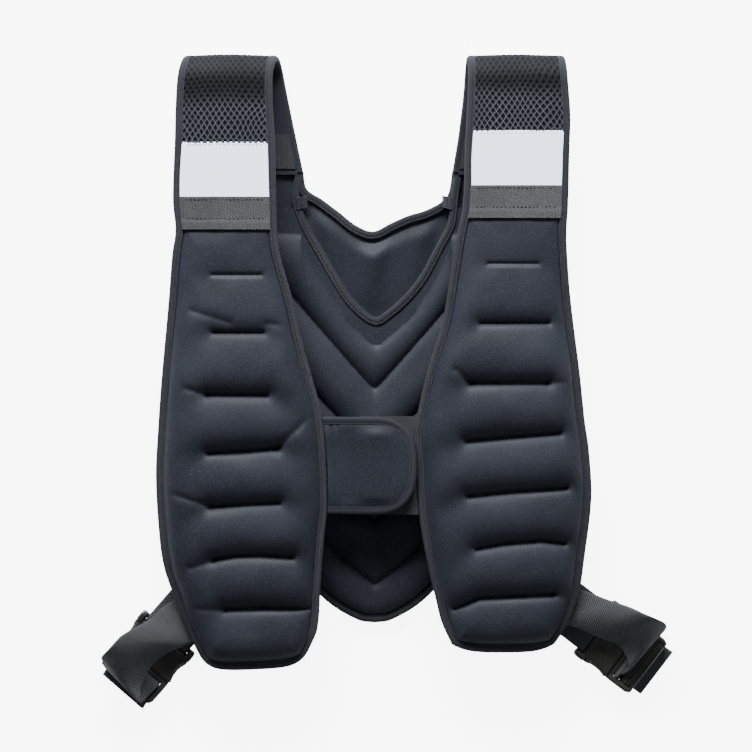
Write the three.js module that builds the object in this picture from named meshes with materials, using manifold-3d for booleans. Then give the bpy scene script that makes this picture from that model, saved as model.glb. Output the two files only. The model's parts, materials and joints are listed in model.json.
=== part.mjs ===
// Weighted vest laid flat on its back, seen from straight above.
// Millimetres, +Z up, +Y towards the shoulder folds. The left side is at -X.

import * as THREE from 'three';
import { mergeVertices } from 'three/addons/utils/BufferGeometryUtils.js';
import Module from 'manifold-3d';

const wasm = await Module();
wasm.setup();

// Driving dimensions

const halfWidth = 201;            // half the width over both front panels
const reach = 532;                // front tangent of the fold down to the panel's bottom row
const foldY = 258;                // where both straps leave the fold
const foldRadius = 20;            // middle of the strap round the fold
const pulledBack = 10.6;          // how much farther the right strap is drawn over the fold
const earRun = 80;                // strap from the fold down to the back's shoulder edge
const gap = 0.3;                  // clearance between touching pieces
const seamGap = 0.7;              // clearance beside a tape that bends with the cloth
const floorClear = 0.3;           // lowest tape above the floor

const tapeWidth = 6.6;            // edge tape, measured across
const tapeHeight = 5.6;           // edge tape on a single layer
const strapHalf = 2.4;            // strap pad, middle to inner face
const skinLift = 0.9;             // strap pad, middle to outer face
const skinThick = 1.2;            // mesh and patch on the strap
const bandThick = 1.6;            // twill band on the strap
const strapCrown = 1.6;           // how far the strap's edges drop

const patchStart = 57;            // below the fold line
const patchLength = 50.6;
const bandLength = 29.6;          // twill band with its hem
const hemLap = 3.4;               // band over the panel's top edge
const meshBack = 103;             // mesh behind the fold line

const panelEdge = 2;              // half the panel at its edge
const panelCrown = 11;            // filling above the middle
const panelBelly = 6;             // filling below the middle
const crownRun = 26;              // edge to full height
const channelDepth = 0.62;        // share of the filling that a stitched channel takes
const channelWidth = 8;
const bottomBulge = 7.4;
const panelRise = 1.2;            // panel's middle above the strap's
const outerDrop = 8;              // how far the outer edge hangs
const innerDrop = 4.5;
const endDrop = 3;                // how far the bottom end hangs
const dropRun = 62;

const shellThick = 2.6;
const shellTop = 178;             // shoulder edge of the back
const backHalf = 184;             // half the widest back
const backBottom = 247;           // bottom of the back under the middle
const neckHalf = 67;
const neckDepth = 57;             // shoulder edge down to the neckline's lowest point
const veeDepth = 137;             // shoulder edge down to the padding's V
const veeHalf = 70;
const padTop = 35;                // shoulder edge down to the padding's top
const padEdge = 4;                // padding at its rim
const padCrown = 12;              // filling over the rim
const backTapeHeight = 7.6;
const chevronPitch = 61;
const chevronFirst = 208;         // shoulder edge down to the first tip

const tabLength = 85.5;
const tabHeight = 90;
const tabCentreY = -97.7;
const tabRightX = 39;
const tabRiseEnd = 7.4;           // right end over the left one
const tabEndRound = 42;
const tabThick = 4.4;
const loopThick = 2;
const loopLength = 52;
const loopBeyond = 0.5;           // loop band past the tab, at top and bottom

const webWidth = 50;
const webThick = 2;
const buckleLength = 65;
const buckleWidth = 64;
const buckleThick = 12.4;
const prongThick = 9.6;
const buckleLift = 2.9;           // underside above the floor, over the webbing's tail
const barThick = 4.4;
const barHalf = 2.2;              // half the bar's height
const slotRun = 5.4;              // slot in the buckle along the strap
const slotPlay = 1.6;             // slot wider than the webbing, each side
const pliesApart = 10;            // front ply over rear ply
const barApproach = 14;           // where the back webbing comes level with the bar
const barReturn = 30;             // end of its turned-back ply

// Colours, roughness and metalness

const neoprene = { color: 0x24272c, roughness: 0.78, metalness: 0 };
const tapeCloth = { color: 0x313133, roughness: 0.82, metalness: 0 };
const meshCloth = { color: 0x2c3036, roughness: 0.85, metalness: 0 };
const silver = { color: 0xdfe5ec, roughness: 0.45, metalness: 0 };
const twill = { color: 0x5a5e63, roughness: 0.8, metalness: 0 };
const webbing = { color: 0x2b2d30, roughness: 0.7, metalness: 0 };
const acetal = { color: 0x17171a, roughness: 0.42, metalness: 0 };

// Outlines and folds. Along the straps and panels, at is a share of reach from the fold line, and out is
// a share of halfWidth from the middle of the vest.

const left = {
  name: 'left',
  sign: -1,
  drawn: 0,
  outer: [
    { at: -0.27, out: 0.84 }, { at: -0.14, out: 0.87 }, { at: -0.06, out: 0.88 }, { at: 0, out: 0.908 },
    { at: 0.11, out: 0.919 }, { at: 0.21, out: 0.927 }, { at: 0.26, out: 0.915 }, { at: 0.3, out: 0.93 },
    { at: 0.38, out: 0.948 }, { at: 0.51, out: 0.98 }, { at: 0.6, out: 0.997 }, { at: 0.69, out: 1.008 },
    { at: 0.8, out: 0.99 }, { at: 0.85, out: 0.968 }, { at: 0.9, out: 0.922 }, { at: 0.94, out: 0.886 },
    { at: 0.97, out: 0.849 }, { at: 1, out: 0.808 },
  ],
  inner: [
    { at: -0.27, out: 0.334 }, { at: -0.21, out: 0.367 }, { at: -0.14, out: 0.405 },
    { at: -0.06, out: 0.445 }, { at: 0, out: 0.469 }, { at: 0.11, out: 0.457 }, { at: 0.26, out: 0.447 },
    { at: 0.3, out: 0.435 }, { at: 0.385, out: 0.373 }, { at: 0.45, out: 0.334 }, { at: 0.52, out: 0.283 },
    { at: 0.57, out: 0.247 }, { at: 0.63, out: 0.226 }, { at: 0.74, out: 0.216 }, { at: 0.79, out: 0.23 },
    { at: 0.87, out: 0.247 }, { at: 0.96, out: 0.263 }, { at: 1, out: 0.304 },
  ],
  tilt: 4.6,
};

const right = {
  name: 'right',
  sign: 1,
  drawn: pulledBack,
  outer: [
    { at: -0.25, out: 0.85 }, { at: -0.14, out: 0.868 }, { at: -0.04, out: 0.879 }, { at: 0.02, out: 0.89 },
    { at: 0.08, out: 0.901 }, { at: 0.135, out: 0.897 }, { at: 0.24, out: 0.89 }, { at: 0.285, out: 0.883 },
    { at: 0.34, out: 0.89 }, { at: 0.4, out: 0.904 }, { at: 0.54, out: 0.95 }, { at: 0.61, out: 0.969 },
    { at: 0.66, out: 0.988 }, { at: 0.745, out: 1 }, { at: 0.85, out: 0.968 }, { at: 0.91, out: 0.944 },
    { at: 0.96, out: 0.899 }, { at: 1, out: 0.831 },
  ],
  inner: [
    { at: -0.25, out: 0.364 }, { at: -0.18, out: 0.394 }, { at: -0.09, out: 0.42 }, { at: 0.02, out: 0.429 },
    { at: 0.135, out: 0.416 }, { at: 0.24, out: 0.405 }, { at: 0.29, out: 0.378 }, { at: 0.365, out: 0.346 },
    { at: 0.44, out: 0.311 }, { at: 0.52, out: 0.247 }, { at: 0.6, out: 0.197 }, { at: 0.64, out: 0.183 },
    { at: 0.68, out: 0.19 }, { at: 0.78, out: 0.207 }, { at: 0.87, out: 0.249 }, { at: 0.92, out: 0.281 },
    { at: 0.96, out: 0.307 }, { at: 1, out: 0.355 },
  ],
  tilt: 0,
};

// Stitched channels of a front panel: from and to are shares of the panel's width from its outer edge,
// and arch is how far the middle of the seam stands above its ends, as a share of crownRun.
const channels = [
  { at: 0.338, from: 0.36, to: 0.8, depth: 0.45, arch: 0 },
  { at: 0.439, from: 0.35, to: 0.74, depth: 0.8, arch: 0 },
  { at: 0.547, from: 0.31, to: 0.72, depth: 1, arch: 0 },
  { at: 0.644, from: 0.3, to: 0.74, depth: 1, arch: 0.1 },
  { at: 0.737, from: 0.31, to: 0.74, depth: 1, arch: 0 },
  { at: 0.827, from: 0.33, to: 0.82, depth: 1, arch: 0.12 },
  { at: 0.917, from: 0.36, to: 0.93, depth: 1, arch: 0 },
];

// Back. Across is a share of backHalf, down a share of the named depth.
const backSide = [
  { down: 0, out: 0.95 }, { down: 0.2, out: 0.955 }, { down: 0.45, out: 0.985 }, { down: 0.62, out: 1 },
  { down: 0.76, out: 0.95 }, { down: 1, out: 0.83 },
];
const neckline = [
  { across: -1, down: 0 }, { across: -0.95, down: 0.3 }, { across: -0.74, down: 0.47 },
  { across: -0.5, down: 0.68 }, { across: -0.26, down: 0.9 }, { across: -0.02, down: 1 },
  { across: 0.22, down: 0.87 }, { across: 0.47, down: 0.74 }, { across: 0.7, down: 0.66 },
  { across: 0.93, down: 0.52 }, { across: 1.04, down: 0.36 }, { across: 1.09, down: 0 },
];
const vee = [
  { across: -1, down: 0.2 }, { across: -0.94, down: 0.3 }, { across: -0.83, down: 0.42 },
  { across: -0.66, down: 0.57 }, { across: -0.48, down: 0.73 }, { across: -0.29, down: 0.88 },
  { across: -0.02, down: 1 }, { across: 0.13, down: 0.975 }, { across: 0.39, down: 0.86 },
  { across: 0.61, down: 0.72 }, { across: 0.81, down: 0.53 }, { across: 0.97, down: 0.37 },
  { across: 1.01, down: 0.24 },
];
const backHem = [
  { across: 0, up: 0 }, { across: 0.1, up: 0.01 }, { across: 0.29, up: 0.08 }, { across: 0.55, up: 0.24 },
  { across: 0.86, up: 0.39 }, { across: 1, up: 0.5 },
];

// Side webbing beside its buckle: along is a share of buckleLength from the buckle's middle outwards,
// aside a share of webWidth, up a share of the height where the ply leaves the panel, and skew and roll
// are in degrees.
const frontPly = {
  left: [
    { along: -0.86, aside: -0.06, up: 1, skew: -22, roll: 0 },
    { along: -0.6, aside: -0.02, up: 1, skew: -22, roll: 0 },
    { along: -0.4, aside: 0.08, up: 0.98, skew: -20, roll: 8 },
    { along: -0.18, aside: 0.2, up: 0.97, skew: -17, roll: 18 },
    { along: 0.13, aside: 0.22, up: 0.95, skew: -15, roll: 18 },
    { along: 0.34, aside: 0.15, up: 0.95, skew: 0, roll: 10 },
  ],
  right: [
    { along: -1.06, aside: 0, up: 1, skew: -24, roll: 0 },
    { along: -0.78, aside: 0.13, up: 1, skew: -27, roll: 0 },
    { along: -0.51, aside: 0.28, up: 0.98, skew: -28, roll: 8 },
    { along: -0.25, aside: 0.34, up: 0.98, skew: -17, roll: 16 },
    { along: 0.03, aside: 0.42, up: 0.96, skew: -10, roll: 14 },
    { along: 0.14, aside: 0.4, up: 0.95, skew: -8, roll: 10 },
  ],
};
const loopTurn = {
  left: { along: 0.5, aside: 0.04, skew: 9 },
  right: { along: 0.29, aside: 0.3, skew: -8 },
};
const tailEnd = {
  left: { along: 0.63, aside: -0.07 },
  right: { along: 0.66, aside: 0.02 },
};

// Buckle beyond the panel's outer edge and below its bottom row, and the angle of its axis in degrees.
const buckleSeat = {
  left: { beyond: 50.592, below: 5, angle: -131 },
  right: { beyond: 63.969, below: 6.1, angle: -37.4 },
};

// Helpers

const mix = (a, b, t) => a + (b - a) * t;
const clamp = (t) => Math.min(Math.max(t, 0), 1);
const ease = (t) => clamp(t) ** 2 * (3 - 2 * clamp(t));
const rad = THREE.MathUtils.degToRad;
const vec = (x, y, z) => new THREE.Vector3(x, y, z);

// Smooth curve through the rows of a table, read at the value of its first column.
function read(rows, column, key, at) {
  const last = rows.length - 1;
  let i = 0;
  while (i < last - 1 && at > rows[i + 1][column]) i += 1;
  const slope = (k) => {
    const a = rows[Math.max(k - 1, 0)];
    const b = rows[Math.min(k + 1, last)];
    return (b[key] - a[key]) / (b[column] - a[column]);
  };
  const span = rows[i + 1][column] - rows[i][column];
  const t = clamp((at - rows[i][column]) / span);
  const h = t * t * (3 - 2 * t);
  const rise = slope(i) * span * t * (1 - t) ** 2 - slope(i + 1) * span * t * t * (1 - t);
  return mix(rows[i][key], rows[i + 1][key], h) + rise;
}

function closedGeometry(points, faces) {
  const geometry = new THREE.BufferGeometry();
  const flat = points.flatMap((p) => [p.x, p.y, p.z]);
  geometry.setAttribute('position', new THREE.Float32BufferAttribute(flat, 3));
  let volume = 0;
  for (const [a, b, c] of faces) {
    volume += points[a].dot(points[b].clone().cross(points[c]));
  }
  geometry.setIndex(volume > 0 ? faces.flat() : faces.flatMap(([a, b, c]) => [a, c, b]));
  geometry.computeVertexNormals();
  return geometry;
}

// Closed body between two grids of points with the same rows and columns.
function slab(top, bottom) {
  const rows = top.length;
  const columns = top[0].length;
  const points = [...top.flat(), ...bottom.flat()];
  const under = rows * columns;
  const faces = [];
  const quad = (a, b, c, d) => faces.push([a, b, c], [a, c, d]);
  for (let i = 0; i < rows - 1; i += 1) {
    for (let j = 0; j < columns - 1; j += 1) {
      const a = i * columns + j;
      quad(a, a + 1, a + 1 + columns, a + columns);
      quad(under + a, under + a + columns, under + a + 1 + columns, under + a + 1);
    }
  }
  const rim = [];
  for (let j = 0; j < columns - 1; j += 1) rim.push(j);
  for (let i = 0; i < rows - 1; i += 1) rim.push(i * columns + columns - 1);
  for (let j = columns - 1; j > 0; j -= 1) rim.push((rows - 1) * columns + j);
  for (let i = rows - 1; i > 0; i -= 1) rim.push(i * columns);
  rim.forEach((a, k) => {
    const b = rim[(k + 1) % rim.length];
    quad(b, a, under + a, under + b);
  });
  return closedGeometry(points, faces);
}

// Closed body through a row of equal loops, with a flat cap at each end.
function sweep(loops) {
  const size = loops[0].length;
  const points = loops.flat();
  const faces = [];
  for (let i = 0; i < loops.length - 1; i += 1) {
    for (let j = 0; j < size; j += 1) {
      const a = i * size + j;
      const b = i * size + ((j + 1) % size);
      faces.push([a, b, b + size], [a, b + size, a + size]);
    }
  }
  const end = (loops.length - 1) * size;
  for (let j = 1; j < size - 1; j += 1) {
    faces.push([0, j + 1, j], [end, end + j, end + j + 1]);
  }
  return closedGeometry(points, faces);
}

// Points moved sideways off a path in a plane; side is +1 for its left hand.
function offsetPath(path, distance, side) {
  return path.map((p, i) => {
    const a = path[Math.max(i - 1, 0)];
    const b = path[Math.min(i + 1, path.length - 1)];
    const before = p.clone().sub(a).normalize();
    const after = b.clone().sub(p).normalize();
    const way = before.clone().add(after).normalize();
    const bend = Math.max(i > 0 ? way.dot(before) : way.dot(after), 0.6);
    const out = new THREE.Vector2(-way.y, way.x).multiplyScalar((side * distance) / bend);
    return p.clone().add(out);
  });
}

// Inner line of a tape, with both ends cut square to the given axis.
function tapeInner(path, width, side, cut = 'y') {
  const inner = offsetPath(path, width, side);
  inner[0][cut] = path[0][cut];
  inner[inner.length - 1][cut] = path[path.length - 1][cut];
  return inner;
}

// Edge tape along a plan path: place(point, lift) puts a plan point in space.
function tape(path, side, height, place, cut) {
  const inner = tapeInner(path, tapeWidth, side, cut);
  const loops = path.map((p, i) => {
    const rim = (share, lift) => place(p.clone().lerp(inner[i], share), lift * height);
    return [rim(1, -0.5), rim(0.22, -0.5), rim(0, -0.2), rim(0, 0.2), rim(0.22, 0.5), rim(1, 0.5)];
  });
  return sweep(loops);
}

const group = new THREE.Group();

function addMesh(name, geometry, finish, parent = group) {
  const mesh = new THREE.Mesh(geometry, new THREE.MeshStandardMaterial(finish));
  mesh.name = name;
  parent.add(mesh);
}

// Straps and front panels. A plan point is (x, run): run is the distance along the cloth below the fold
// line, and it turns negative round the fold and down the back.

const outlineX = (side, edge, run) => side.sign * halfWidth * read(side[edge], 'at', 'out', run / reach);
const foldArc = Math.PI * foldRadius;
const foldZ = floorClear + tapeHeight / 2 + foldRadius;
const strapEnd = (side) => side.drawn - foldArc - earRun + gap;
const bandEnd = patchStart + patchLength + bandLength;
const panelStart = bandEnd - hemLap;

// Where a side's buckle lies, from the bottom end of its panel.
function seatOf(side) {
  const { beyond, below, angle } = buckleSeat[side.name];
  const x = outlineX(side, 'outer', reach) + side.sign * beyond;
  return { x, y: foldY + side.drawn - reach - below, angle };
}

// How far the cloth's middle stands over the strap's level at a plan point in front of the fold.
function hang(side, x, run) {
  const body = ease((run - panelStart) / (reach * 0.2));
  const fromOuter = Math.abs(outlineX(side, 'outer', run) - x);
  const fromInner = Math.abs(outlineX(side, 'inner', run) - x);
  const outer = outerDrop * (1 - clamp(fromOuter / dropRun)) ** 2;
  const inner = innerDrop * (1 - clamp(fromInner / dropRun)) ** 2;
  const end = endDrop * ease((run - reach * 0.8) / (reach * 0.2));
  return body * (panelRise - outer - inner - end);
}

function drape(side, plan, lift) {
  const run = plan.y - side.drawn;
  const outer = outlineX(side, 'outer', plan.y);
  const inner = outlineX(side, 'inner', plan.y);
  const across = (2 * (plan.x - outer)) / (inner - outer) - 1;
  const strap = 1 - ease((plan.y - panelStart) / (reach * 0.2));
  const off = lift - strapCrown * strap * across * across;
  if (run >= 0) {
    return vec(plan.x, foldY - run, foldZ + foldRadius + off + hang(side, plan.x, plan.y));
  }
  if (run > -foldArc) {
    const turn = -run / foldRadius;
    const r = foldRadius + off;
    return vec(plan.x, foldY + r * Math.sin(turn), foldZ + r * Math.cos(turn));
  }
  return vec(plan.x, foldY + run + foldArc, foldZ - foldRadius - off);
}

// Outline of strap and panel in plan: down the outer edge, along the bottom and up the inner edge.
function bottomRow(side, t) {
  const x = mix(outlineX(side, 'outer', reach), outlineX(side, 'inner', reach), t);
  const bulge = bottomBulge * (1 - (2 * t - 1) ** 4);
  return new THREE.Vector2(x, reach - side.tilt * t + bulge);
}

function runSteps(start, end, count) {
  const rows = [];
  for (let i = 0; i <= count; i += 1) rows.push(mix(start, end, i / count));
  return rows;
}

// Runs from start to end, with the same steps round the fold for every layer of a strap.
function strapRuns(side, start, end) {
  const shared = [];
  for (let i = 3; i > 0; i -= 1) shared.push(side.drawn - foldArc - (earRun * i) / 4);
  for (let i = 10; i >= 0; i -= 1) shared.push(side.drawn - (foldArc * i) / 10);
  for (let i = 1; i < 6; i += 1) shared.push(side.drawn + (panelStart * i) / 6);
  return [start, ...shared.filter((run) => run > start + 2 && run < end - 2), end];
}

function sheetOutline(side, runs, columns) {
  const outer = runs.map((run) => new THREE.Vector2(outlineX(side, 'outer', run), run));
  const bottom = [];
  for (let j = 1; j < columns; j += 1) bottom.push(bottomRow(side, j / columns));
  const inner = runs.map((run) => {
    const lift = side.tilt * ease((run - reach * 0.9) / (reach * 0.1));
    return new THREE.Vector2(outlineX(side, 'inner', run), run - lift);
  });
  return [...outer, ...bottom, ...inner.reverse()];
}

// Rows of plan points between the taped edges, from one run to another.
function strapGrid(side, start, end, columns) {
  const inset = tapeWidth + seamGap;
  const grid = [];
  for (const run of strapRuns(side, start, end)) {
    const outer = outlineX(side, 'outer', run) - side.sign * inset;
    const inner = outlineX(side, 'inner', run) + side.sign * inset;
    const row = [];
    for (let j = 0; j <= columns; j += 1) row.push(new THREE.Vector2(mix(outer, inner, j / columns), run));
    grid.push(row);
  }
  return grid;
}

const lifted = (side, grid, lift) => grid.map((row) => row.map((plan) => drape(side, plan, lift)));

function layer(side, start, end, from, to, columns = 5) {
  const grid = strapGrid(side, start, end, columns);
  return slab(lifted(side, grid, to), lifted(side, grid, from));
}

// Plan grid of a front panel inside its tape.
function panelGrid(side, rows, columns) {
  const start = panelStart + gap;
  const outline = sheetOutline(side, [start, ...runSteps(bandEnd + gap, reach, rows - 1)], columns);
  const inset = tapeInner(outline, tapeWidth + seamGap * 1.6, side.sign);
  const outer = inset.slice(0, rows + 1);
  const bottom = inset.slice(rows, rows + columns + 1);
  const inner = inset.slice(rows + columns).reverse();
  outer[1].y = bandEnd + 2 * gap;
  inner[1].y = bandEnd + 2 * gap;
  const grid = [];
  for (let i = 0; i <= rows; i += 1) {
    const row = [];
    for (let j = 0; j <= columns; j += 1) {
      const t = j / columns;
      const flat = outer[i].clone().lerp(inner[i], t);
      const end = outer[rows].clone().lerp(inner[rows], t);
      const sag = bottom[j].clone().sub(end).multiplyScalar((i / rows) ** 6);
      row.push(flat.add(sag));
    }
    grid.push(row);
  }
  return grid;
}

// Share of the filling that is left at a plan point, from its edges and the stitched channels.
function filling(plan, t, edge) {
  let full = Math.sqrt(1 - (1 - clamp(edge / crownRun)) ** 2);
  for (const seam of channels) {
    const middle = (t - seam.from) / (seam.to - seam.from);
    const arch = seam.arch * crownRun * (1 - (2 * clamp(middle) - 1) ** 2);
    const off = Math.abs(plan.y - seam.at * reach + arch);
    const reachIn = ease((t - seam.from + 0.09) / 0.09) * ease((seam.to + 0.09 - t) / 0.09);
    full *= 1 - channelDepth * seam.depth * reachIn * Math.exp(-off / channelWidth);
  }
  return full;
}

function frontPanel(side) {
  const rows = 33;
  const columns = 10;
  const grid = panelGrid(side, rows, columns);
  const surface = (thick, thin, way) => grid.map((row, i) => row.map((plan, j) => {
    const t = j / columns;
    const toEnd = grid[rows][j].y - plan.y;
    const toHem = plan.y - bandEnd - 2 * gap;
    const edge = Math.min(plan.distanceTo(row[0]), plan.distanceTo(row[columns]), toEnd, toHem);
    return drape(side, plan, way * (thin + thick * filling(plan, t, Math.max(edge, 0))));
  }));
  return slab(surface(panelCrown, skinLift, 1), surface(panelBelly, panelEdge, -1));
}

function frontBinding(side) {
  const back = strapRuns(side, strapEnd(side), 0);
  const path = sheetOutline(side, [...back, ...runSteps(reach * 0.04, reach, 20)], 10);
  return tape(path, side.sign, tapeHeight, (plan, lift) => drape(side, plan, lift));
}

// Adds one side's strap and panel, and returns what its side webbing runs under.
function addFront(side) {
  const name = (piece) => `${piece}_${side.name}`;
  const end = strapEnd(side);
  const top = skinLift + gap;
  const band = patchStart + patchLength;
  const panel = frontPanel(side);
  const binding = frontBinding(side);
  addMesh(name('front_panel'), panel, neoprene);
  addMesh(name('strap_pad'), layer(side, end, panelStart, -strapHalf, skinLift), neoprene);
  const meshStart = side.drawn - meshBack;
  addMesh(name('shoulder_mesh'), layer(side, meshStart, patchStart, top, top + skinThick), meshCloth);
  const patch = layer(side, patchStart + gap, band, top, top + skinThick);
  addMesh(name('reflective_patch'), patch, silver);
  const twillBand = layer(side, band + gap, bandEnd, top, top + bandThick);
  addMesh(name('strap_band'), twillBand, twill);
  addMesh(name('front_binding'), binding, tapeCloth);
  return [panel, binding];
}

// Back. A plan point is (x, y). The shell is flat, and its padding lies on it.

const backY = (down) => shellTop - down;
const hemY = (across) => -backBottom + backBottom * read(backHem, 'across', 'up', Math.abs(across));
const backWidth = (y) => {
  const down = (shellTop - y) / (shellTop - hemY(1));
  return backHalf * read(backSide, 'down', 'out', clamp(down));
};

// Value of one coordinate of a path where the other one has a given value.
function along(path, from, to, value) {
  const rising = path[path.length - 1][from] > path[0][from];
  const line = rising ? path : [...path].reverse();
  let i = 0;
  while (i < line.length - 2 && value > line[i + 1][from]) i += 1;
  const t = clamp((value - line[i][from]) / (line[i + 1][from] - line[i][from]));
  return mix(line[i][to], line[i + 1][to], t);
}

function curvePath(curve, half, depth, steps) {
  const points = curve.map((row) => new THREE.Vector2(row.across * half, backY(row.down * depth)));
  return new THREE.SplineCurve(points).getPoints(steps);
}

// Sides and hem of the back, from the left shoulder round to the right one.
const sideSteps = 12;
const hemSteps = 20;

function rimPath() {
  const path = [];
  const low = hemY(1);
  for (let i = 0; i <= sideSteps; i += 1) {
    const y = mix(shellTop - gap, low, i / sideSteps);
    path.push(new THREE.Vector2(-backWidth(y), y));
  }
  const half = backWidth(low);
  for (let i = 1; i < hemSteps; i += 1) {
    const across = mix(-1, 1, i / hemSteps);
    path.push(new THREE.Vector2(across * half, hemY(across)));
  }
  for (let i = sideSteps; i >= 0; i -= 1) path.push(new THREE.Vector2(-path[i].x, path[i].y));
  return path;
}

const neckPath = () => curvePath(neckline, neckHalf, neckDepth, 26);
const veePath = () => curvePath(vee, veeHalf, veeDepth, 26);

function backShell() {
  const rim = tapeInner(rimPath(), tapeWidth + seamGap, 1);
  const neck = tapeInner(neckPath(), tapeWidth + seamGap, -1).reverse();
  const outline = new THREE.Shape([...rim, ...neck]);
  return new THREE.ExtrudeGeometry(outline, { depth: shellThick, bevelEnabled: false });
}

// Chevron channels across the padding.
function chevrons(plan) {
  const drop = shellTop - plan.y;
  let full = 1;
  for (let k = 0; k < 4; k += 1) {
    const slope = mix(1.15, 0.88, k / 3);
    const line = chevronFirst + chevronPitch * k - slope * Math.abs(plan.x);
    full *= 1 - channelDepth * Math.exp(-Math.abs(drop - line) / (channelWidth * 1.2));
  }
  return full;
}

const padColumns = [-1, -0.91, -0.8, -0.66, -0.53, -0.43, -0.39, -0.33, -0.25, -0.17, -0.1, -0.055, -0.01,
  0.035, 0.08, 0.13, 0.19, 0.27, 0.34, 0.4, 0.45, 0.55, 0.67, 0.8, 0.91, 1];

function backPad() {
  const rows = 17;
  const inset = tapeWidth + seamGap;
  const rim = offsetPath(rimPath(), inset, 1);
  const side = rim.slice(0, sideSteps + 1);
  const hem = rim.slice(sideSteps, sideSteps + hemSteps + 1);
  const neck = offsetPath(veePath(), inset + seamGap * 0.6, -1);
  const xAt = (across, y) => -across * along(side, 'y', 'x', y);
  const topAt = (x) => Math.min(along(neck, 'x', 'y', x), backY(padTop));
  const grid = padColumns.map((across) => {
    let top = backY(padTop);
    for (let pass = 0; pass < 6; pass += 1) top = topAt(xAt(across, top));
    const low = along(hem, 'x', 'y', across * -hem[0].x);
    return runSteps(top, low, rows).map((y) => new THREE.Vector2(xAt(across, y), y));
  });
  const level = shellThick + gap;
  const top = grid.map((column) => column.map((p) => {
    const fromSide = backWidth(p.y) - Math.abs(p.x) - inset;
    const run = clamp(Math.min(column[0].y - p.y, p.y - column[rows].y, fromSide) / crownRun);
    const full = Math.sqrt(1 - (1 - run) ** 2) * chevrons(p);
    return vec(p.x, p.y, level + padEdge + padCrown * full);
  }));
  return slab(top, grid.map((column) => column.map((p) => vec(p.x, p.y, level))));
}

function levelTape(path, side, height, base) {
  return tape(path, side, height, (p, lift) => vec(p.x, p.y, base + height / 2 + lift));
}

function addBack() {
  const neck = neckPath();
  neck[0].y -= gap;
  neck[neck.length - 1].y -= gap;
  const onShell = shellThick + gap;
  addMesh('back_shell', backShell(), neoprene);
  addMesh('back_pad', backPad(), neoprene);
  addMesh('neck_binding', levelTape(neck, -1, tapeHeight, floorClear), tapeCloth);
  addMesh('back_pad_binding', levelTape(veePath(), -1, tapeHeight, onShell), tapeCloth);
  addMesh('back_binding', levelTape(rimPath(), 1, backTapeHeight, floorClear), tapeCloth);
}

// Chest tab: rows run from the left panel to a rounded right end.

const tabLeftX = tabRightX - tabLength;
const tabLevel = foldZ + foldRadius;

function tabRise(x) {
  const t = (x - tabLeftX) / tabLength;
  return tabLevel + panelRise - innerDrop + tabRiseEnd * ease(t * 1.8);
}

// Left end of the chest pieces, against the left panel's tape.
const tabStartX = (y) => outlineX(left, 'inner', foldY - y + left.drawn) + seamGap;

function tabEndX(across, inset) {
  const round = (1 - Math.min(Math.abs(across), 1) ** 2.6) ** (1 / 2.6);
  return tabRightX - inset - (tabEndRound - inset) * (1 - round);
}

function chestTab() {
  const inset = tapeWidth + gap;
  const rows = [];
  for (let i = 0; i <= 10; i += 1) {
    const across = Math.sin(mix(-1, 1, i / 10) * Math.PI / 2);
    const y = tabCentreY + across * (tabHeight / 2 - inset);
    const row = [];
    for (let j = 0; j <= 8; j += 1) row.push([mix(tabStartX(y), tabEndX(across, inset), j / 8), y]);
    rows.push(row);
  }
  const place = (lift) => rows.map((row) => row.map(([x, y]) => vec(x, y, tabRise(x) + lift)));
  return slab(place(tabThick / 2), place(-tabThick / 2));
}

function tabBinding() {
  const path = [];
  const top = tabCentreY + tabHeight / 2;
  const low = tabCentreY - tabHeight / 2;
  for (let i = 0; i < 5; i += 1) {
    path.push(new THREE.Vector2(mix(tabStartX(top), tabRightX - tabEndRound, i / 5), top));
  }
  for (let i = 0; i <= 18; i += 1) {
    const across = Math.sin(mix(1, -1, i / 18) * Math.PI / 2);
    path.push(new THREE.Vector2(tabEndX(across, 0), tabCentreY + (across * tabHeight) / 2));
  }
  for (let i = 4; i >= 0; i -= 1) {
    path.push(new THREE.Vector2(mix(tabStartX(low), tabRightX - tabEndRound, i / 5), low));
  }
  return tape(path, -1, tabThick, (p, lift) => vec(p.x, p.y, tabRise(p.x) + lift), 'x');
}

function chestBand() {
  const rows = [];
  for (let i = 0; i <= 4; i += 1) {
    const y = tabCentreY + mix(-0.5, 0.5, i / 4) * (tabHeight + 2 * loopBeyond);
    const run = foldY - y + right.drawn;
    const end = outlineX(right, 'inner', run) - seamGap;
    const row = [];
    for (let j = 0; j <= 6; j += 1) row.push([mix(end - loopLength, end, j / 6), y]);
    rows.push(row);
  }
  const level = tabLevel + panelRise - innerDrop;
  const place = (lift) => rows.map((row) => row.map(([x, y]) => vec(x, y, level + lift)));
  return slab(place(loopThick / 2), place(-loopThick / 2));
}

function addChest() {
  addMesh('chest_tab', chestTab(), neoprene);
  addMesh('chest_tab_binding', tabBinding(), tapeCloth);
  addMesh('chest_band', chestBand(), webbing);
}

// Ribbon through stations that each hold a centre, an across direction and a face direction.
function ribbon(stations) {
  return sweep(stations.map(({ at, across, face }) => {
    const wide = across.clone().multiplyScalar(webWidth / 2);
    const thick = face.clone().multiplyScalar(webThick / 2);
    const corner = (a, b) => at.clone().addScaledVector(wide, a).addScaledVector(thick, b);
    return [corner(-1, -1), corner(1, -1), corner(1, 1), corner(-1, 1)];
  }));
}

function station(x, y, z, lean, skew = 0, roll = 0) {
  const flatAcross = vec(-Math.sin(rad(skew)), Math.cos(rad(skew)), 0);
  const heading = vec(Math.cos(rad(skew)), Math.sin(rad(skew)), 0);
  const across = flatAcross.clone().applyAxisAngle(heading, rad(roll));
  const face = vec(0, 0, 1).applyAxisAngle(heading, rad(roll)).applyAxisAngle(across, rad(lean));
  return { at: vec(x, y, z), across, face };
}

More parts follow.
